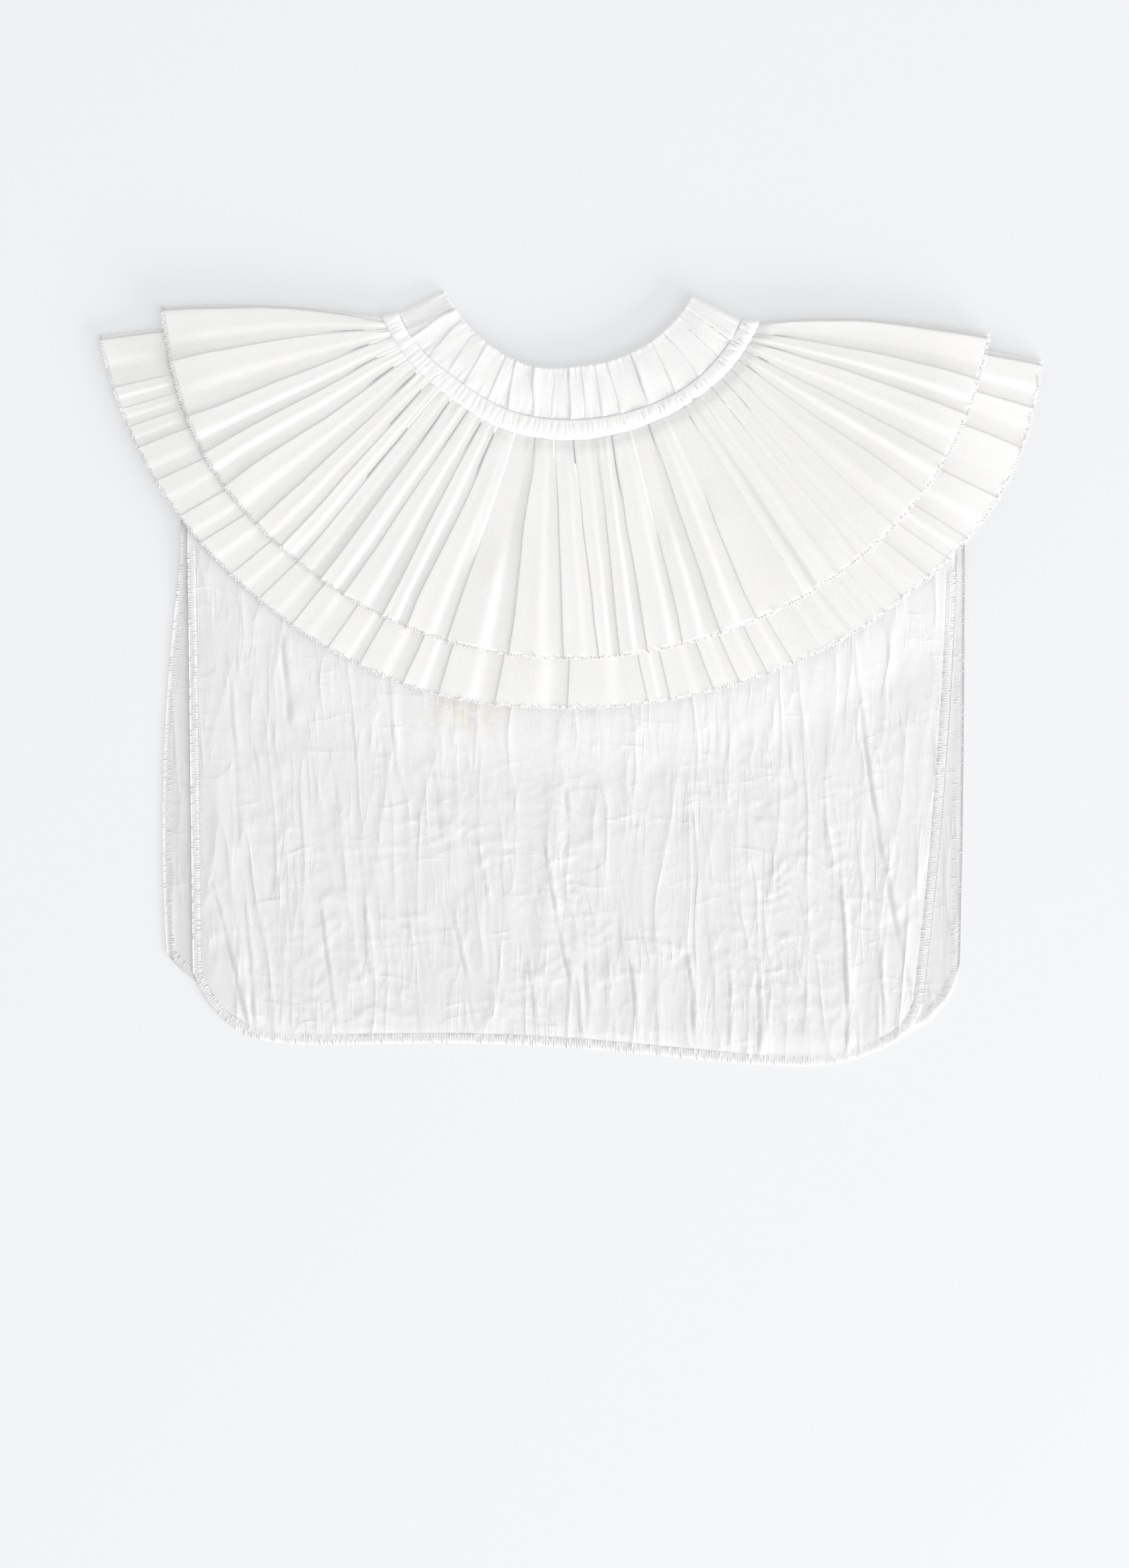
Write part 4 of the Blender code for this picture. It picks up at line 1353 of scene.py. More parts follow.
        arch = y + 8.0 * soft_noise(x / 11.0, y / 26.0, self.seed + 4)
        turned = x / 24.0 + 0.5 * soft_noise(x / 8.0, y / 8.0, self.seed + 5)
        scale = 0.95 * ridged(turned, arch / 7.0, self.seed + 6) ** 3.0
        mask = smooth_step(-0.45, 0.35, soft_noise(x / 34.0, y / 30.0, self.seed + 7))
        crumple = 0.20 * ridged(x / 10.0 + 0.02 * y, arch / 13.0, self.seed + 10) ** 2.0
        low = 0.4 + 0.6 * smooth_step(0.0, -130.0, y)
        cross = (1.15 * scale * mask + crumple) * low
        lively = 0.65 + 0.35 * smooth_step(-20.0, -150.0, y)
        upright = lively * (broad + streak + fine)
        return height + 0.40 * self.crinkle * (upright + cross + dent * low)

    def surface(self, plan: Array, from_edge: Array) -> Array:
        """Height of the bib's middle, in metres.

        Args:
            plan: X and Y of points in metres.
            from_edge: their distances from the shown edge in millimetres.

        Returns:
            Heights in metres.
        """
        beyond = FAN.beyond(plan, Edge.LOWER_HEM)
        shown = 0.12 + 0.88 * smooth_step(-6.0 * MM, 8.0 * MM, beyond)
        calm = 0.3 + 0.7 * smooth_step(self.band - 1.0, self.band + 7.0, from_edge)
        groove = -0.25 * np.exp(-(((from_edge - self.band) / 0.6) ** 2))
        lift = 0.15 * smooth_step(self.band + 0.3, self.band - 0.7, from_edge)
        edge_wave = 0.16 * soft_noise(plan[..., 0] / MM / 9.0, plan[..., 1] / MM / 9.0, 61)
        edge_wave = edge_wave * smooth_step(9.0, 2.0, from_edge)
        if self.on_back:
            over_back = smooth_step(-203.0, -185.0, plan[..., 1] / MM)
            lift = lift - (0.12 + 0.36 * over_back) * smooth_step(16.0, 1.0, from_edge)
        wrinkles = self.wrinkles(plan) - 0.12 * self.crinkle
        return MM * (self.level(plan) + wrinkles * shown * calm + groove + lift + edge_wave)

    def stitch_path(self, inset: float, lift: float) -> Array:
        """Points along the shown edge, at an inset and a lift over the cloth in millimetres.

        Args:
            inset: distance in from the edge.
            lift: height over the cloth.

        Returns:
            Points in order, in metres.
        """
        line = self.outline(inset * MM)
        height = self.surface(line, np.full(len(line), inset)) + lift * MM
        return np.column_stack([line, height])

    def build(self, material: bpy.types.Material) -> bpy.types.Object:
        """Build the bib's shell and keep the paths of its overlock stitches.

        Args:
            material: finish of the whole shell.

        Returns:
            The linked object.
        """
        plan = self.plan()
        from_edge = self.from_edge(plan)
        middle = np.dstack([plan, self.surface(plan, from_edge)])
        thickness = self.thickness + 0.2 * smooth_step(self.band, self.band - 0.8, from_edge)
        thickness = thickness * (0.25 + 0.75 * smooth_step(-0.05, 0.5, from_edge))
        lift = 0.06 if self.on_back else -0.02
        self.path = self.stitch_path(self.band / 2, lift)
        self.needle_path = self.stitch_path(self.band + 0.2, lift + 0.14)
        return Sheet(self.name, middle, thickness * MM, closed=False).build(material)


UPPER_FORM = RingForm(Edge.CASING_EDGE, Edge.UPPER_HEM,
                      Shoulder(-69.3, -81.6, 3.6), Shoulder(67.6, 77.9, 5.0), -1.2 * MM)
LOWER_FORM = RingForm(Edge.CASING_EDGE, Edge.LOWER_HEM,
                      Shoulder(-66.4, -79.3, 4.0), Shoulder(64.9, 76.2, 5.0))
CASING_FORM = RingForm(Edge.NECK_SEAM, Edge.CASING_EDGE,
                       Shoulder(-69.0, -70.0, 0.2), Shoulder(65.9, 67.6, 0.2),
                       0.0 * MM, 0.25 * MM)
BAND_FORM = RingForm(Edge.BAND_TOP, Edge.NECK_SEAM,
                     Shoulder(-70.6, -69.0, 0.4), Shoulder(67.4, 65.9, 0.4), 0.0, 0.2 * MM)


# Colour sockets of a mix node: both inputs and the result
MIX_FIRST = 6
MIX_SECOND = 7
MIX_RESULT = 2
Colour = tuple[float, float, float] | bpy.types.NodeSocket


class NodeLine:
    """Short hand for adding and joining the nodes of one tree."""

    def __init__(self, tree: bpy.types.NodeTree) -> None:
        """Keep the tree that the nodes go into."""
        self.tree = tree

    def add(self, kind: str, inputs: dict | None = None, **settings: object) -> bpy.types.Node:
        """Add a node.

        Args:
            kind: the node's type name.
            inputs: socket name or number to a value, or to another node's output socket.
            **settings: properties of the node.

        Returns:
            The new node.
        """
        node = self.tree.nodes.new(kind)
        for key, value in settings.items():
            setattr(node, key, value)
        for key, value in (inputs or {}).items():
            if isinstance(value, bpy.types.NodeSocket):
                self.tree.links.new(value, node.inputs[key])
            else:
                node.inputs[key].default_value = value
        return node

    def noise(self, scale: float, detail: float, **inputs: float) -> bpy.types.NodeSocket:
        """Add a noise that is fixed to the object.

        Args:
            scale: how fine the noise is.
            detail: how many finer layers it has.
            **inputs: values of the noise's other sockets.

        Returns:
            Socket with its values.
        """
        place = self.add("ShaderNodeTexCoord")
        node = self.add("ShaderNodeTexNoise", {"Vector": place.outputs["Object"],
                                               "Scale": scale, "Detail": detail, **inputs})
        return node.outputs["Fac"]

    def ramp(self, value: bpy.types.NodeSocket, start: float, end: float,
             low: float = 0.0, high: float = 1.0) -> bpy.types.NodeSocket:
        """Stretch a range of values over another one, held level past its ends.

        Args:
            value: socket with the values.
            start: value that becomes the low one.
            end: value that becomes the high one.
            low: result at the start.
            high: result at the end.

        Returns:
            Socket with the result.
        """
        node = self.add("ShaderNodeMapRange", {"Value": value, "From Min": start,
                                               "From Max": end, "To Min": low, "To Max": high})
        return node.outputs["Result"]

    def blend(self, share: bpy.types.NodeSocket, first: Colour, second: Colour
              ) -> bpy.types.NodeSocket:
        """Blend two colours.

        Args:
            share: socket with the second colour's share.
            first: a colour, or a socket with one.
            second: the other colour.

        Returns:
            Socket with the blend.
        """
        node = self.add("ShaderNodeMix", {"Factor": share}, data_type="RGBA")
        for slot, colour in ((MIX_FIRST, first), (MIX_SECOND, second)):
            if isinstance(colour, bpy.types.NodeSocket):
                self.tree.links.new(colour, node.inputs[slot])
            else:
                node.inputs[slot].default_value = (*colour, 1.0)
        return node.outputs[MIX_RESULT]

    def scaled(self, colour: bpy.types.NodeSocket, share: bpy.types.NodeSocket
               ) -> bpy.types.NodeSocket:
        """Colour darkened to a share of its brightness."""
        node = self.add("ShaderNodeVectorMath", {0: colour, "Scale": share}, operation="SCALE")
        return node.outputs[0]

    def shade(self, inputs: dict) -> None:
        """Set sockets of the tree's surface shader, each to a value or another node's socket.

        Args:
            inputs: socket name to its value or to another node's output socket.
        """
        shader = self.tree.nodes["Principled BSDF"]
        for key, value in inputs.items():
            if isinstance(value, bpy.types.NodeSocket):
                self.tree.links.new(value, shader.inputs[key])
            else:
                shader.inputs[key].default_value = value


def new_material(name: str) -> tuple[bpy.types.Material, NodeLine]:
    """Make a material with a surface shader, and the short hand for its nodes.

    Args:
        name: the material's name.

    Returns:
        The material, and what adds nodes to it.
    """
    made = bpy.data.materials.new(name)
    made.use_nodes = True
    return made, NodeLine(made.node_tree)


@dataclass(frozen=True)
class CottonFinish:
    """A matt white cotton: plain weave, slubs and a soft change of tone."""

    name: str
    colour: tuple[float, float, float]
    shade: tuple[float, float, float]
    weave_pitch: float = 0.55 * MM
    weave_depth: float = 0.12
    slub_depth: float = 0.16
    grain: float = 0.045
    roughness: float = 0.88
    sheen: float = 0.12
    glow: float = 0.25
    glow_depth: float = 0.8 * MM

    def colour_socket(self, line: NodeLine) -> bpy.types.NodeSocket:
        """Tone that drifts between the two colours.

        Args:
            line: the tree that the nodes go into.

        Returns:
            Socket with the colour.
        """
        drifting = line.blend(line.noise(14.0, 4.0, Roughness=0.6), self.colour, self.shade)
        grain = line.ramp(line.noise(1300.0, 1.0), 0.3, 0.7, 1.0 - self.grain, 1.0)
        return line.scaled(drifting, grain)

    def normal_socket(self, line: NodeLine) -> bpy.types.NodeSocket:
        """Bump of the weave's two threads and of slubs.

        Args:
            line: the tree that the nodes go into.

        Returns:
            Socket with the normal.
        """
        weave = line.add("ShaderNodeUVMap", uv_map="weave")
        heights = []
        for direction in ("X", "Y"):
            wave = line.add("ShaderNodeTexWave",
                            {"Vector": weave.outputs["UV"], "Scale": 0.16 / self.weave_pitch,
                             "Distortion": 1.2, "Detail": 1.0, "Detail Scale": 2.0},
                            bands_direction=direction)
            heights.append(wave.outputs["Fac"])
        threads = line.add("ShaderNodeMath", {0: heights[0], 1: heights[1]},
                           operation="MULTIPLY")
        first = line.add("ShaderNodeBump", {"Strength": self.weave_depth, "Distance": 0.15 * MM,
                                            "Height": threads.outputs[0]})
        second = line.add("ShaderNodeBump", {"Strength": self.slub_depth, "Distance": 0.4 * MM,
                                             "Height": line.noise(420.0, 3.0),
                                             "Normal": first.outputs["Normal"]})
        return second.outputs["Normal"]

    def material(self) -> bpy.types.Material:
        """Make the finish as a material.

        Returns:
            The new material.
        """
        made, line = new_material(self.name)
        line.shade({"Base Color": self.colour_socket(line), "Normal": self.normal_socket(line),
                    "Roughness": self.roughness, "Specular IOR Level": 0.25,
                    "Sheen Weight": self.sheen, "Sheen Roughness": 0.5,
                    "Subsurface Weight": self.glow, "Subsurface Radius": (1.0, 1.0, 1.0),
                    "Subsurface Scale": self.glow_depth})
        return made


@dataclass(frozen=True)
class CrinkledCotton(CottonFinish):
    """Thin cotton, crinkled in fine upright creases with short ones across them.

    Its tone darkens by a share along a level direction, between two places in metres.
    """

    crinkle_depth: float = 0.16 * MM
    # Darkening of the tone along a level direction: by default darker towards the bottom left; on
    # the back bib it is painted shade towards its left.
    darkening: float = 0.034
    darkening_way: tuple[float, float] = (0.35, 1.0)
    darkening_from: float = -200.0 * MM
    darkening_to: float = 0.0

    def colour_socket(self, line: NodeLine) -> bpy.types.NodeSocket:
        """Drifting tone that grows a little darker one way.

        Args:
            line: the tree that the nodes go into.

        Returns:
            Socket with the colour.
        """
        plain = super().colour_socket(line)
        place = line.add("ShaderNodeTexCoord")
        along = line.add("ShaderNodeVectorMath", {0: place.outputs["Object"],
                                                  1: (*self.darkening_way, 0.0)},
                         operation="DOT_PRODUCT")
        return line.scaled(plain, line.ramp(along.outputs["Value"], self.darkening_from,
                                            self.darkening_to, 1.0 - self.darkening, 1.0))

    def normal_socket(self, line: NodeLine) -> bpy.types.NodeSocket:
        """Bump of the weave with the fine crinkle over it.

        Args:
            line: the tree that the nodes go into.

        Returns:
            Socket with the normal.
        """
        normal = super().normal_socket(line)
        place = line.add("ShaderNodeTexCoord")
        patch = line.ramp(line.noise(34.0, 2.0), 0.42, 0.62)
        layers = (((1.0, 0.16, 1.0), 62.0, 1.5, 1.0),
                  ((1.0, 0.13, 1.0), 180.0, 0.6, patch),
                  ((0.40, 1.0, 1.0), 72.0, 0.85, patch))
        for stretch, scale, share, mask in layers:
            mapped = line.add("ShaderNodeMapping", {"Vector": place.outputs["Object"],
                                                    "Scale": stretch})
            crease = line.add("ShaderNodeTexNoise", {
                "Vector": mapped.outputs["Vector"], "Scale": scale, "Detail": 1.5,
                "Roughness": 0.5, "Offset": 0.9, "Gain": 1.6, "Distortion": 0.35},
                noise_type="RIDGED_MULTIFRACTAL", normalize=True)
            sharp = line.add("ShaderNodeMath", {0: crease.outputs["Fac"], 1: 3.0},
                             operation="POWER")
            bump = line.add("ShaderNodeBump", {
                "Strength": mask,
                "Distance": self.crinkle_depth * share,
                "Height": sharp.outputs[0], "Normal": normal})
            normal = bump.outputs["Normal"]
        return normal


@dataclass(frozen=True)
class StainedCotton(CrinkledCotton):
    """The front bib's cotton, with a faint beige stain under the lower tier."""

    stain: tuple[float, float, float] = (0.70, 0.66, 0.56)
    stain_place: tuple[float, float] = (-58.0 * MM, -21.0 * MM)
    stain_size: tuple[float, float] = (36.0 * MM, 14.0 * MM)

    def colour_socket(self, line: NodeLine) -> bpy.types.NodeSocket:
        """Drifting tone with the stain mixed over it.

        Args:
            line: the tree that the nodes go into.

        Returns:
            Socket with the colour.
        """
        plain = super().colour_socket(line)
        place = line.add("ShaderNodeTexCoord")
        centred = line.add("ShaderNodeMapping", {
            "Vector": place.outputs["Object"],
            "Location": (-self.stain_place[0] / self.stain_size[0],
                         -self.stain_place[1] / self.stain_size[1], 0.0),
            "Scale": (1.0 / self.stain_size[0], 1.0 / self.stain_size[1], 0.0)})
        spot = line.add("ShaderNodeTexGradient", {"Vector": centred.outputs["Vector"]},
                        gradient_type="SPHERICAL")
        patch = line.add("ShaderNodeMath", {0: spot.outputs["Fac"],
                                            1: line.ramp(line.noise(130.0, 5.0), 0.34, 0.60)},
                         operation="MULTIPLY")
        soft = line.add("ShaderNodeMath", {0: patch.outputs[0], 1: 0.85}, operation="MULTIPLY",
                        use_clamp=True)
        return line.blend(soft.outputs[0], plain, self.stain)


@dataclass(frozen=True)
class ThreadFinish:
    """White sewing thread, faintly twisted."""

    name: str = "sewing_thread"
    # Its grey is partly painted shade of the gaps between overlock stitches; the faint violet tint
    # is the thread's own.
    colour: tuple[float, float, float] = (0.785, 0.775, 0.795)

    def material(self) -> bpy.types.Material:
        """Make the finish as a material.

        Returns:
            The new material.
        """
        made, line = new_material(self.name)
        twist = line.noise(900.0, 2.0)
        bump = line.add("ShaderNodeBump", {"Strength": 0.3, "Distance": 0.1 * MM,
                                           "Height": twist})
        shade = tuple(0.96 * part for part in self.colour)
        line.shade({"Base Color": line.blend(twist, self.colour, shade),
                    "Normal": bump.outputs["Normal"], "Roughness": 0.7})
        return made


class StitchKind(Enum):
    """How the stitches lie on their path."""

    PICOT = "picot"
    OVERLOCK = "overlock"
    NEEDLE = "needle"


@dataclass(frozen=True)
class StitchRow:
    """A row of thread loops along a path, made by geometry nodes.

    Lengths are in metres: the pitch along the path, the reach of a loop to both sides of it,
    the thread's radius, and how unevenly the loops turn, in radians.
    """

    name: str
    kind: StitchKind
    pitch: float
    reach_in: float
    reach_out: float
    lean: float
    thread: float
    turn: float
    seed: int

    def tree(self, material: bpy.types.Material) -> tuple[bpy.types.NodeTree, dict[str, str]]:
        """Make the node tree.

        Args:
            material: the thread's finish.

        Returns:
            The tree, and the identifier of each of its named inputs.
        """
        tree = bpy.data.node_groups.new(self.name, "GeometryNodeTree")
        face = tree.interface
        face.new_socket("Path", in_out="INPUT", socket_type="NodeSocketGeometry")
        sockets = {key: face.new_socket(key, in_out="INPUT", socket_type="NodeSocketFloat")
                   for key in ("Pitch", "Thread Radius", "Turn")}
        vectors = {key: face.new_socket(key, in_out="INPUT", socket_type="NodeSocketVector")
                   for key in ("Loop Start", "Loop Bend In", "Loop Bend Out", "Loop End")}
        seed = face.new_socket("Seed", in_out="INPUT", socket_type="NodeSocketInt")
        face.new_socket("Stitches", in_out="OUTPUT", socket_type="NodeSocketGeometry")
        line = NodeLine(tree)
        given = tree.nodes.new("NodeGroupInput")
        curve = line.add("GeometryNodeMeshToCurve", {"Mesh": given.outputs["Path"]})
        even = line.add("GeometryNodeResampleCurve", {"Curve": curve.outputs["Curve"],
                                                      "Length": given.outputs["Pitch"]},
                        mode="LENGTH")
        loop = line.add("GeometryNodeCurvePrimitiveBezierSegment", {
            "Resolution": 5, "Start": given.outputs["Loop Start"],
            "Start Handle": given.outputs["Loop Bend In"],
            "End Handle": given.outputs["Loop Bend Out"], "End": given.outputs["Loop End"]})
        round_thread = line.add("GeometryNodeCurvePrimitiveCircle", {
            "Resolution": 5, "Radius": given.outputs["Thread Radius"]})
        solid = line.add("GeometryNodeCurveToMesh", {
            "Curve": loop.outputs["Curve"], "Profile Curve": round_thread.outputs["Curve"],
            "Fill Caps": True})
        tangent = line.add("GeometryNodeInputTangent")
        aligned = line.add("FunctionNodeAlignRotationToVector",
                           {"Vector": tangent.outputs["Tangent"]}, axis="X")
        least = line.add("ShaderNodeMath", {0: given.outputs["Turn"], 1: -1.0},
                         operation="MULTIPLY")
        low = line.add("ShaderNodeCombineXYZ", {"X": least.outputs[0], "Z": least.outputs[0]})
        high = line.add("ShaderNodeCombineXYZ", {"X": given.outputs["Turn"],
                                                 "Z": given.outputs["Turn"]})
        uneven = line.add("FunctionNodeRandomValue", {0: low.outputs[0], 1: high.outputs[0],
                                                      "Seed": given.outputs["Seed"]},
                          data_type="FLOAT_VECTOR")
        as_turn = line.add("FunctionNodeEulerToRotation", {0: uneven.outputs[0]})
        turned = line.add("FunctionNodeRotateRotation", {
            0: aligned.outputs[0], 1: as_turn.outputs[0]}, rotation_space="LOCAL")
        size = line.add("FunctionNodeRandomValue", {2: 0.78, 3: 1.15,
                                                    "Seed": given.outputs["Seed"]},
                        data_type="FLOAT")
        laid = line.add("GeometryNodeInstanceOnPoints", {
            "Points": even.outputs["Curve"], "Instance": solid.outputs["Mesh"],
            "Rotation": turned.outputs[0], "Scale": size.outputs[1]})
        real = line.add("GeometryNodeRealizeInstances", {"Geometry": laid.outputs["Instances"]})
        smooth = line.add("GeometryNodeSetShadeSmooth", {"Geometry": real.outputs[0]})
        dressed = line.add("GeometryNodeSetMaterial", {"Geometry": smooth.outputs[0],
                                                       "Material": material})
        out = tree.nodes.new("NodeGroupOutput")
        tree.links.new(dressed.outputs["Geometry"], out.inputs["Stitches"])
        names = {**sockets, **vectors, "Seed": seed}
        return tree, {key: socket.identifier for key, socket in names.items()}

    def loop(self) -> dict[str, tuple[float, float, float]]:
        """Ends and bends of one loop, across the path and a little over it.

        Returns:
            Place of each, by the name of the tree's input.
        """
        if self.kind is StitchKind.OVERLOCK:
            return {"Loop Start": (-self.lean, self.reach_in, -0.1 * MM),
                    "Loop Bend In": (-self.lean, self.reach_in * 0.4, 0.18 * MM),
                    "Loop Bend Out": (self.lean, -self.reach_out * 0.4, 0.18 * MM),
                    "Loop End": (self.lean, -self.reach_out, -0.2 * MM)}
        if self.kind is StitchKind.NEEDLE:
            return {"Loop Start": (-self.lean, 0.0, -0.1 * MM),
                    "Loop Bend In": (-self.lean * 0.5, 0.0, 0.15 * MM),
                    "Loop Bend Out": (self.lean * 0.5, 0.0, 0.15 * MM),
                    "Loop End": (self.lean, 0.0, -0.1 * MM)}
        return {"Loop Start": (-self.lean, self.reach_in, 0.10 * MM),
                "Loop Bend In": (-self.lean * 0.5, -self.reach_out * 1.5, 0.22 * MM),
                "Loop Bend Out": (self.lean * 1.6, -self.reach_out * 1.5, 0.16 * MM),
                "Loop End": (self.lean, self.reach_in * 0.8, 0.10 * MM)}

    def build(self, path: Array, closed: bool, material: bpy.types.Material) -> bpy.types.Object:
        """Lay the stitches along a path.

        Args:
            path: points in order.
            closed: whether the path runs back to its start.
            material: the thread's finish.

        Returns:
            One plain mesh object with all the stitches.
        """
        count = len(path)
        edges = [(k, k + 1) for k in range(count - 1)] + ([(count - 1, 0)] if closed else [])
        guide_mesh = bpy.data.meshes.new(f"{self.name}_path")
        guide_mesh.from_pydata(path.tolist(), edges, [])
        guide = link_object(f"{self.name}_path", guide_mesh)
        tree, names = self.tree(material)
        modifier = guide.modifiers.new("stitches", "NODES")
        modifier.node_group = tree
        modifier[names["Pitch"]] = self.pitch
        modifier[names["Thread Radius"]] = self.thread
        modifier[names["Turn"]] = self.turn
        modifier[names["Seed"]] = self.seed
        for key, place in self.loop().items():
            modifier[names[key]] = place
        depsgraph = bpy.context.evaluated_depsgraph_get()
        mesh = bpy.data.meshes.new_from_object(guide.evaluated_get(depsgraph))
        mesh.name = self.name
        places = np.empty(len(mesh.vertices) * 3, np.float32)
        mesh.vertices.foreach_get("co", places)
        places[2::3] = np.maximum(places[2::3], LOWEST)
        mesh.vertices.foreach_set("co", places)
        bpy.data.objects.remove(guide, do_unlink=True)
        return link_object(self.name, mesh)


@dataclass(frozen=True)
class Declared:
    """What a sheet of the collar was cut from, in metres and square metres."""

    flat: tuple[float, float]
    held: str
    rests_on: tuple[str, ...]
    area: float


class Collar:
    """All the cloth of the collar and its stitches."""

    def __init__(self) -> None:
        """Make the finishes."""
        self.tier_cotton = CottonFinish("tier_cotton", (0.874, 0.868, 0.855),
                                        (0.860, 0.852, 0.837)).material()
        self.neck_cotton = CottonFinish("neck_cotton", (0.908, 0.903, 0.895),
                                        (0.893, 0.887, 0.877)).material()
        self.bib_cotton = StainedCotton("bib_cotton", (0.833, 0.831, 0.826),
                                        (0.810, 0.792, 0.796), roughness=0.92).material()
        # The back bib's tone is painted shade: darker than the front bib's cotton for the shade of
        # its strips beside the front bib, and darker towards its left for the shade of the fold
        # there.
        self.painted_shade_back_cotton = CrinkledCotton(
            "back_bib_cotton", (0.764, 0.751, 0.753), (0.742, 0.729, 0.733), roughness=0.92,
            darkening=0.08, darkening_way=(1.0, 0.0), darkening_from=-225.0 * MM,
            darkening_to=220.0 * MM).material()
        # Overlock thread, its grey partly painted shade between the stitches.
        self.thread = ThreadFinish().material()
        self.hem_thread = ThreadFinish("hem_thread", (0.85, 0.845, 0.84)).material()
        # The needle line's thread is painted a darker grey: painted shade of stitches sunk into the
        # cloth.
        self.sunk_thread = ThreadFinish("sunk_thread", (0.70, 0.69, 0.70)).material()

    def place(self, cloth: bpy.types.Object, node: str, cut: Declared,
              extras: list[bpy.types.Object]) -> None:
        """Put a sheet of cloth and its stitches in place of a solid.

        Args:
            cloth: the sheet's shell.
            node: the solid that it stands for.
            cut: what it was cut from.
            extras: stitches that go with it.
        """
        for piece in (cloth, *extras):
            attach(piece, "root")
            log.info("%s: %d faces", piece.name, len(piece.data.polygons))
        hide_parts(node)
        list(cut.rests_on)
        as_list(extras)

    def edge_stitches(self, bib: Bib, seed: int) -> list[bpy.types.Object]:
        """Sew a bib's overlock: strokes across the edge and the needle line inside them.

        Args:
            bib: the bib, already built.
            seed: number that fixes the unevenness.

        Returns:
            The two rows of stitches.
        """
        name = bib.name.removesuffix("_cloth")
        strokes = StitchRow(f"{name}_overlock", StitchKind.OVERLOCK, pitch=1.45 * MM,
                            reach_in=2.3 * MM, reach_out=2.45 * MM, lean=0.25 * MM,
                            thread=0.27 * MM, turn=0.16, seed=seed)
        needle = StitchRow(f"{name}_needle_line", StitchKind.NEEDLE, pitch=1.45 * MM,
                           reach_in=0.0, reach_out=0.0, lean=0.5 * MM, thread=0.21 * MM,
                           turn=0.1, seed=seed + 1)
        return [strokes.build(bib.path, False, self.thread),
                needle.build(bib.needle_path, False, self.sunk_thread)]

    def hem_picots(self, tier: PleatedTier, seed: int) -> bpy.types.Object:
        """Sew the picots along a tier's hem, kept clear of the floor.

        Args:
            tier: the tier, already built.
            seed: number that fixes the unevenness.

        Returns:
            The row of stitches.
        """
        path = tier.middle[-1].copy()
        path[:, 2] = np.maximum(path[:, 2], HEM_PATH_LOWEST)
        name = tier.name.removesuffix("_tier_cloth")
        row = StitchRow(f"{name}_hem_picots", StitchKind.PICOT, pitch=1.9 * MM,
                        reach_in=1.1 * MM, reach_out=1.0 * MM, lean=0.6 * MM,
                        thread=0.27 * MM, turn=0.6, seed=seed)
        return row.build(path, True, self.hem_thread)

    def add_back_bib(self) -> None:
        """Build the back bib."""
        bib = Bib("back_bib_cloth", BibSides(-217.0, 219.0, 5.5, 0.8), BACK_BOTTOM, (),
                  columns=190, hidden_rows=12, rows=70, seed=71, on_back=False, crinkle=0.35)
        cloth = bib.build(self.painted_shade_back_cotton)
        self.place(cloth, "back_bib", Declared((0.44, 0.36), "laid", ("floor",), 0.118),
                   self.edge_stitches(bib, 7))

    def add_front_bib(self) -> None:
        """Build the front bib."""
        bib = Bib("front_bib_cloth", BibSides(-213.2, 214.5, 0.0, 2.6), FRONT_BOTTOM,
                  BIB_CREASES, columns=372, hidden_rows=8, rows=126, seed=81, on_back=True)
        cloth = bib.build(self.bib_cotton)
        self.place(cloth, "front_bib",
                   Declared((0.43, 0.37), "laid", ("back_bib_cloth",), 0.122),
                   self.edge_stitches(bib, 9))

    def add_lower_tier(self) -> None:
        """Build the lower tier."""
        shares = np.concatenate([np.linspace(0.0, 0.74, 9)[:-1], np.linspace(0.74, 1.0, 27)])
        tier = PleatedTier("lower_tier_cloth", LOWER_FORM, LOWER_PLEATS, shares,
                           crest=(0.58, 0.5), seed=91, fold_scale=0.72, strip_drop=0.5,
                           relief=0.4, left_life=0.68)
        cloth = tier.build(self.tier_cotton)
        self.place(cloth, "lower_tier",
                   Declared((1.85, 0.152), "folded", ("front_bib_cloth", "back_bib_cloth"),
                            0.150), [self.hem_picots(tier, 3)])

    def add_upper_tier(self) -> None:
        """Build the upper tier."""
        tier = PleatedTier("upper_tier_cloth", UPPER_FORM, UPPER_PLEATS,
                           np.linspace(0.0, 1.0, 54), crest=(0.60, 0.5), seed=101)
        cloth = tier.build(self.tier_cotton)
        self.place(cloth, "upper_tier",
                   Declared((1.65, 0.122), "folded", ("lower_tier_cloth",), 0.122),
                   [self.hem_picots(tier, 5)])

    def add_casing(self) -> None:
        """Build the elastic casing."""
        shares = (1.0 - np.cos(np.linspace(0.0, np.pi, 25))) / 2
        casing = ElasticCasing("casing_cloth", CASING_FORM, shares, front_columns=560,
                               back_columns=200, wall=3.0, turn_depth=2.4, back_level=1.6)
        cloth = casing.build(self.neck_cotton)
        self.place(cloth, "neck_casing",
                   Declared((0.62, 0.013), "gathered", ("upper_tier_cloth",), 0.0072), [])

    def add_band(self) -> None:
        """Build the stand band."""
        shares = np.concatenate([np.linspace(0.0, 0.06, 9)[:-1], np.linspace(0.06, 0.93, 24)[:-1],
                                 np.linspace(0.93, 1.0, 10)])
        band = StandBand("band_cloth", BAND_FORM, shares, front_columns=520,
                         back_columns=150, wall=1.5, turn_depth=2.2, back_level=1.0,
                         left_drop=-3.0)
        cloth = band.build(self.neck_cotton)
        self.place(cloth, "neck_band",
                   Declared((0.48, 0.030), "gathered", ("casing_cloth",), 0.0135), [])

    def build(self) -> None:
        """Build every piece, the lowest first."""
        self.add_back_bib()
        self.add_front_bib()
        self.add_lower_tier()
        self.add_upper_tier()
        self.add_casing()
        self.add_band()


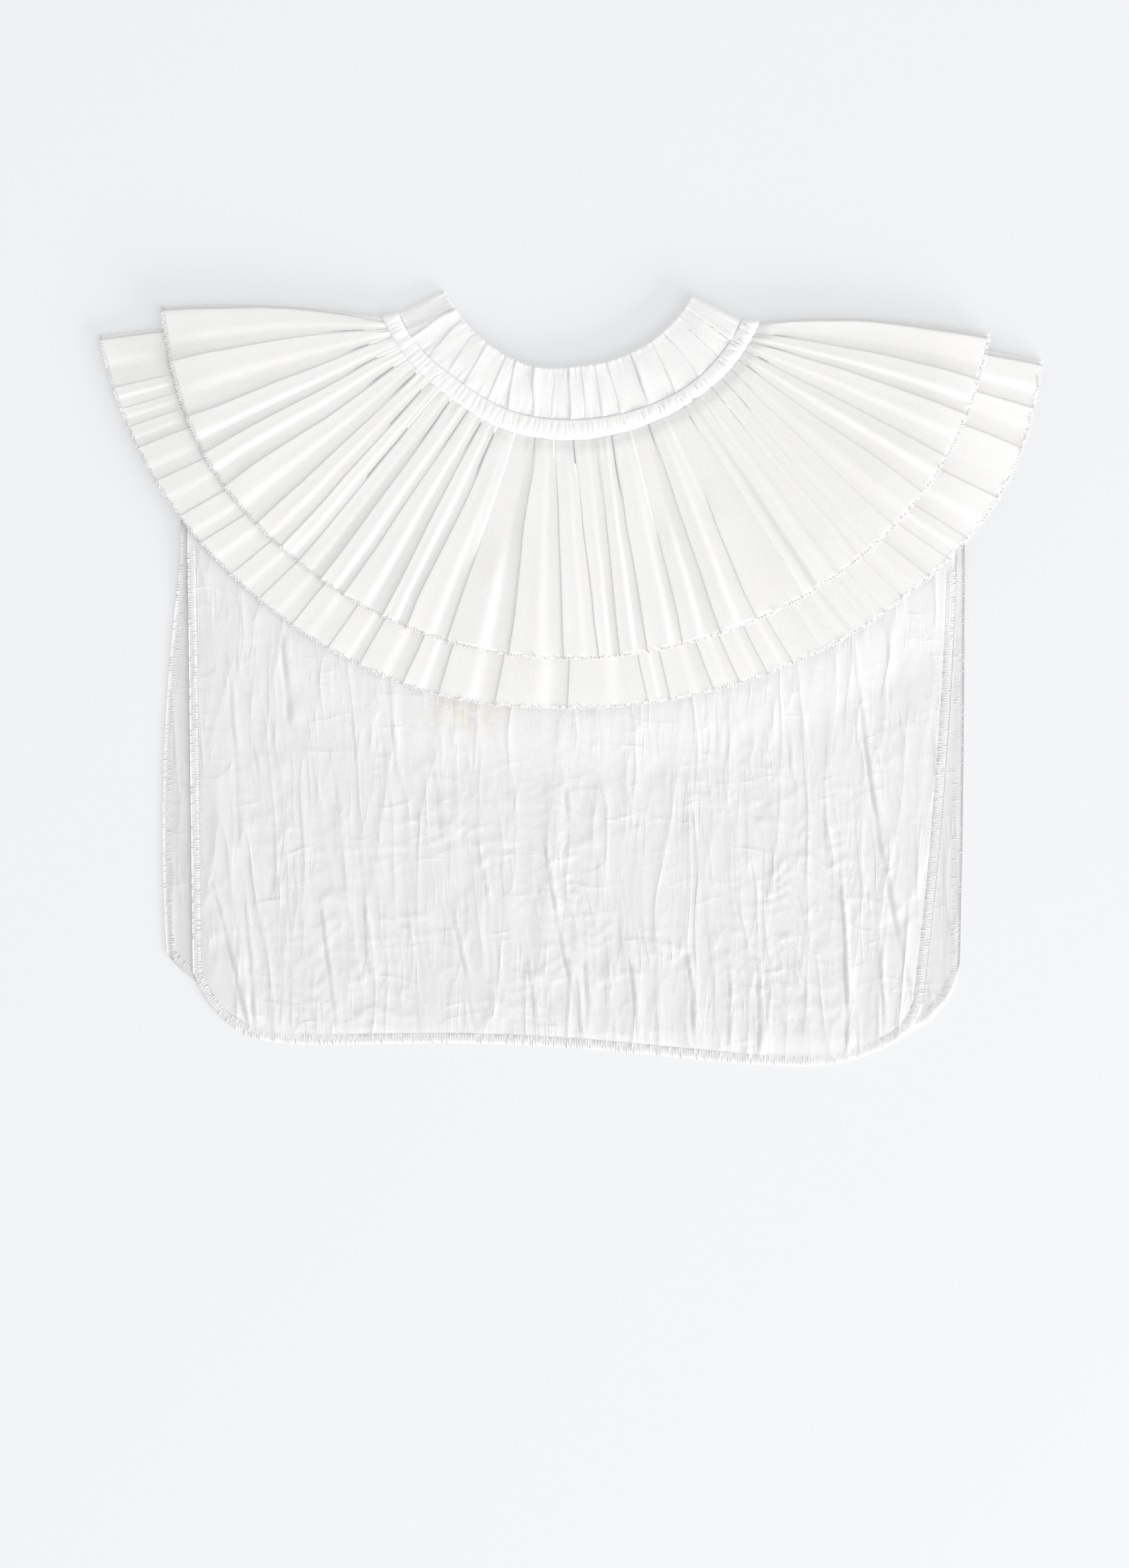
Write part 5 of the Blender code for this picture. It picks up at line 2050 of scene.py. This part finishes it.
@dataclass(frozen=True)
class Studio:
    """Pale floor, soft light from the photo's lower right, and the camera straight above."""

    view_x: float = -3.5 * MM
    view_y: float = -58.7 * MM
    height: float = 2.4255
    lens: float = 100.0
    sun: float = 0.60
    sun_angle: float = 40.0
    sun_way: tuple[float, float, float] = (-0.48, 0.48, -0.75)
    sky: float = 0.76
    low_light: float = 240.0
    low_light_width: float = 3.7
    low_light_height: float = 1.1
    low_light_place: tuple[float, float, float] = (3.2, -3.2, 0.95)
    lamp_colour: tuple[float, float, float] = (1.0, 0.998, 0.995)
    floor_glow: float = 0.42

    def add_floor(self) -> None:
        """Lay a plain floor of faintly uneven tone, with a glow that keeps its shadows light."""
        mesh = bpy.data.meshes.new("floor")
        half, low = 3.0, -0.1 * MM
        mesh.from_pydata([(-half, -half, low), (half, -half, low), (half, half, low),
                          (-half, half, low)], [], [(0, 1, 2, 3)])
        floor = link_object("floor", mesh)
        made, line = new_material("floor_board")
        tone = line.blend(line.noise(3.0, 2.0), (0.428, 0.432, 0.440), (0.432, 0.436, 0.444))
        line.shade({"Base Color": tone, "Roughness": 0.95, "Specular IOR Level": 0.1,
                    "Emission Color": (0.992, 1.0, 1.015, 1.0),
                    "Emission Strength": self.floor_glow})
        mesh.materials.append(made)

    def add_light(self) -> None:
        """Light the scene with a soft sun, a low panel to its lower right and an even sky."""
        world = bpy.data.worlds.new("studio")
        world.use_nodes = True
        sky = world.node_tree.nodes["Background"]
        sky.inputs["Color"].default_value = (0.985, 0.99, 1.0, 1.0)
        sky.inputs["Strength"].default_value = self.sky
        bpy.context.scene.world = world
        lamp = bpy.data.lights.new("key_light", "SUN")
        lamp.energy = self.sun
        lamp.angle = math.radians(self.sun_angle)
        lamp.color = self.lamp_colour
        key = link_object("key_light", lamp)
        key.rotation_euler = Vector(self.sun_way).to_track_quat("-Z", "Y").to_euler()
        panel = bpy.data.lights.new("low_panel", "AREA")
        panel.energy = self.low_light
        panel.shape = "RECTANGLE"
        panel.size, panel.size_y = self.low_light_width, self.low_light_height
        panel.color = self.lamp_colour
        low = link_object("low_panel", panel)
        low.location = self.low_light_place
        low.visible_camera = False
        low.rotation_euler = (-low.location).to_track_quat("-Z", "Y").to_euler()

    def add_camera(self) -> None:
        """Set the camera over the collar."""
        data = bpy.data.cameras.new("camera")
        data.lens = self.lens
        data.sensor_width = 36.0
        data.clip_start, data.clip_end = 0.05, 20.0
        camera = link_object("camera", data)
        camera.location = (self.view_x, self.view_y, self.height)
        bpy.context.scene.camera = camera

    def build(self) -> None:
        """Build the whole studio."""
        self.add_floor()
        self.add_light()
        self.add_camera()
        settings = bpy.context.scene.view_settings
        settings.view_transform = "Standard"
        settings.look = "None"


def main() -> None:
    """Build the collar and the studio round it."""
    logging.basicConfig(level=logging.INFO, format="%(name)s: %(message)s")
    Collar().build()
    Studio().build()


if __name__ == "__main__":
    main()
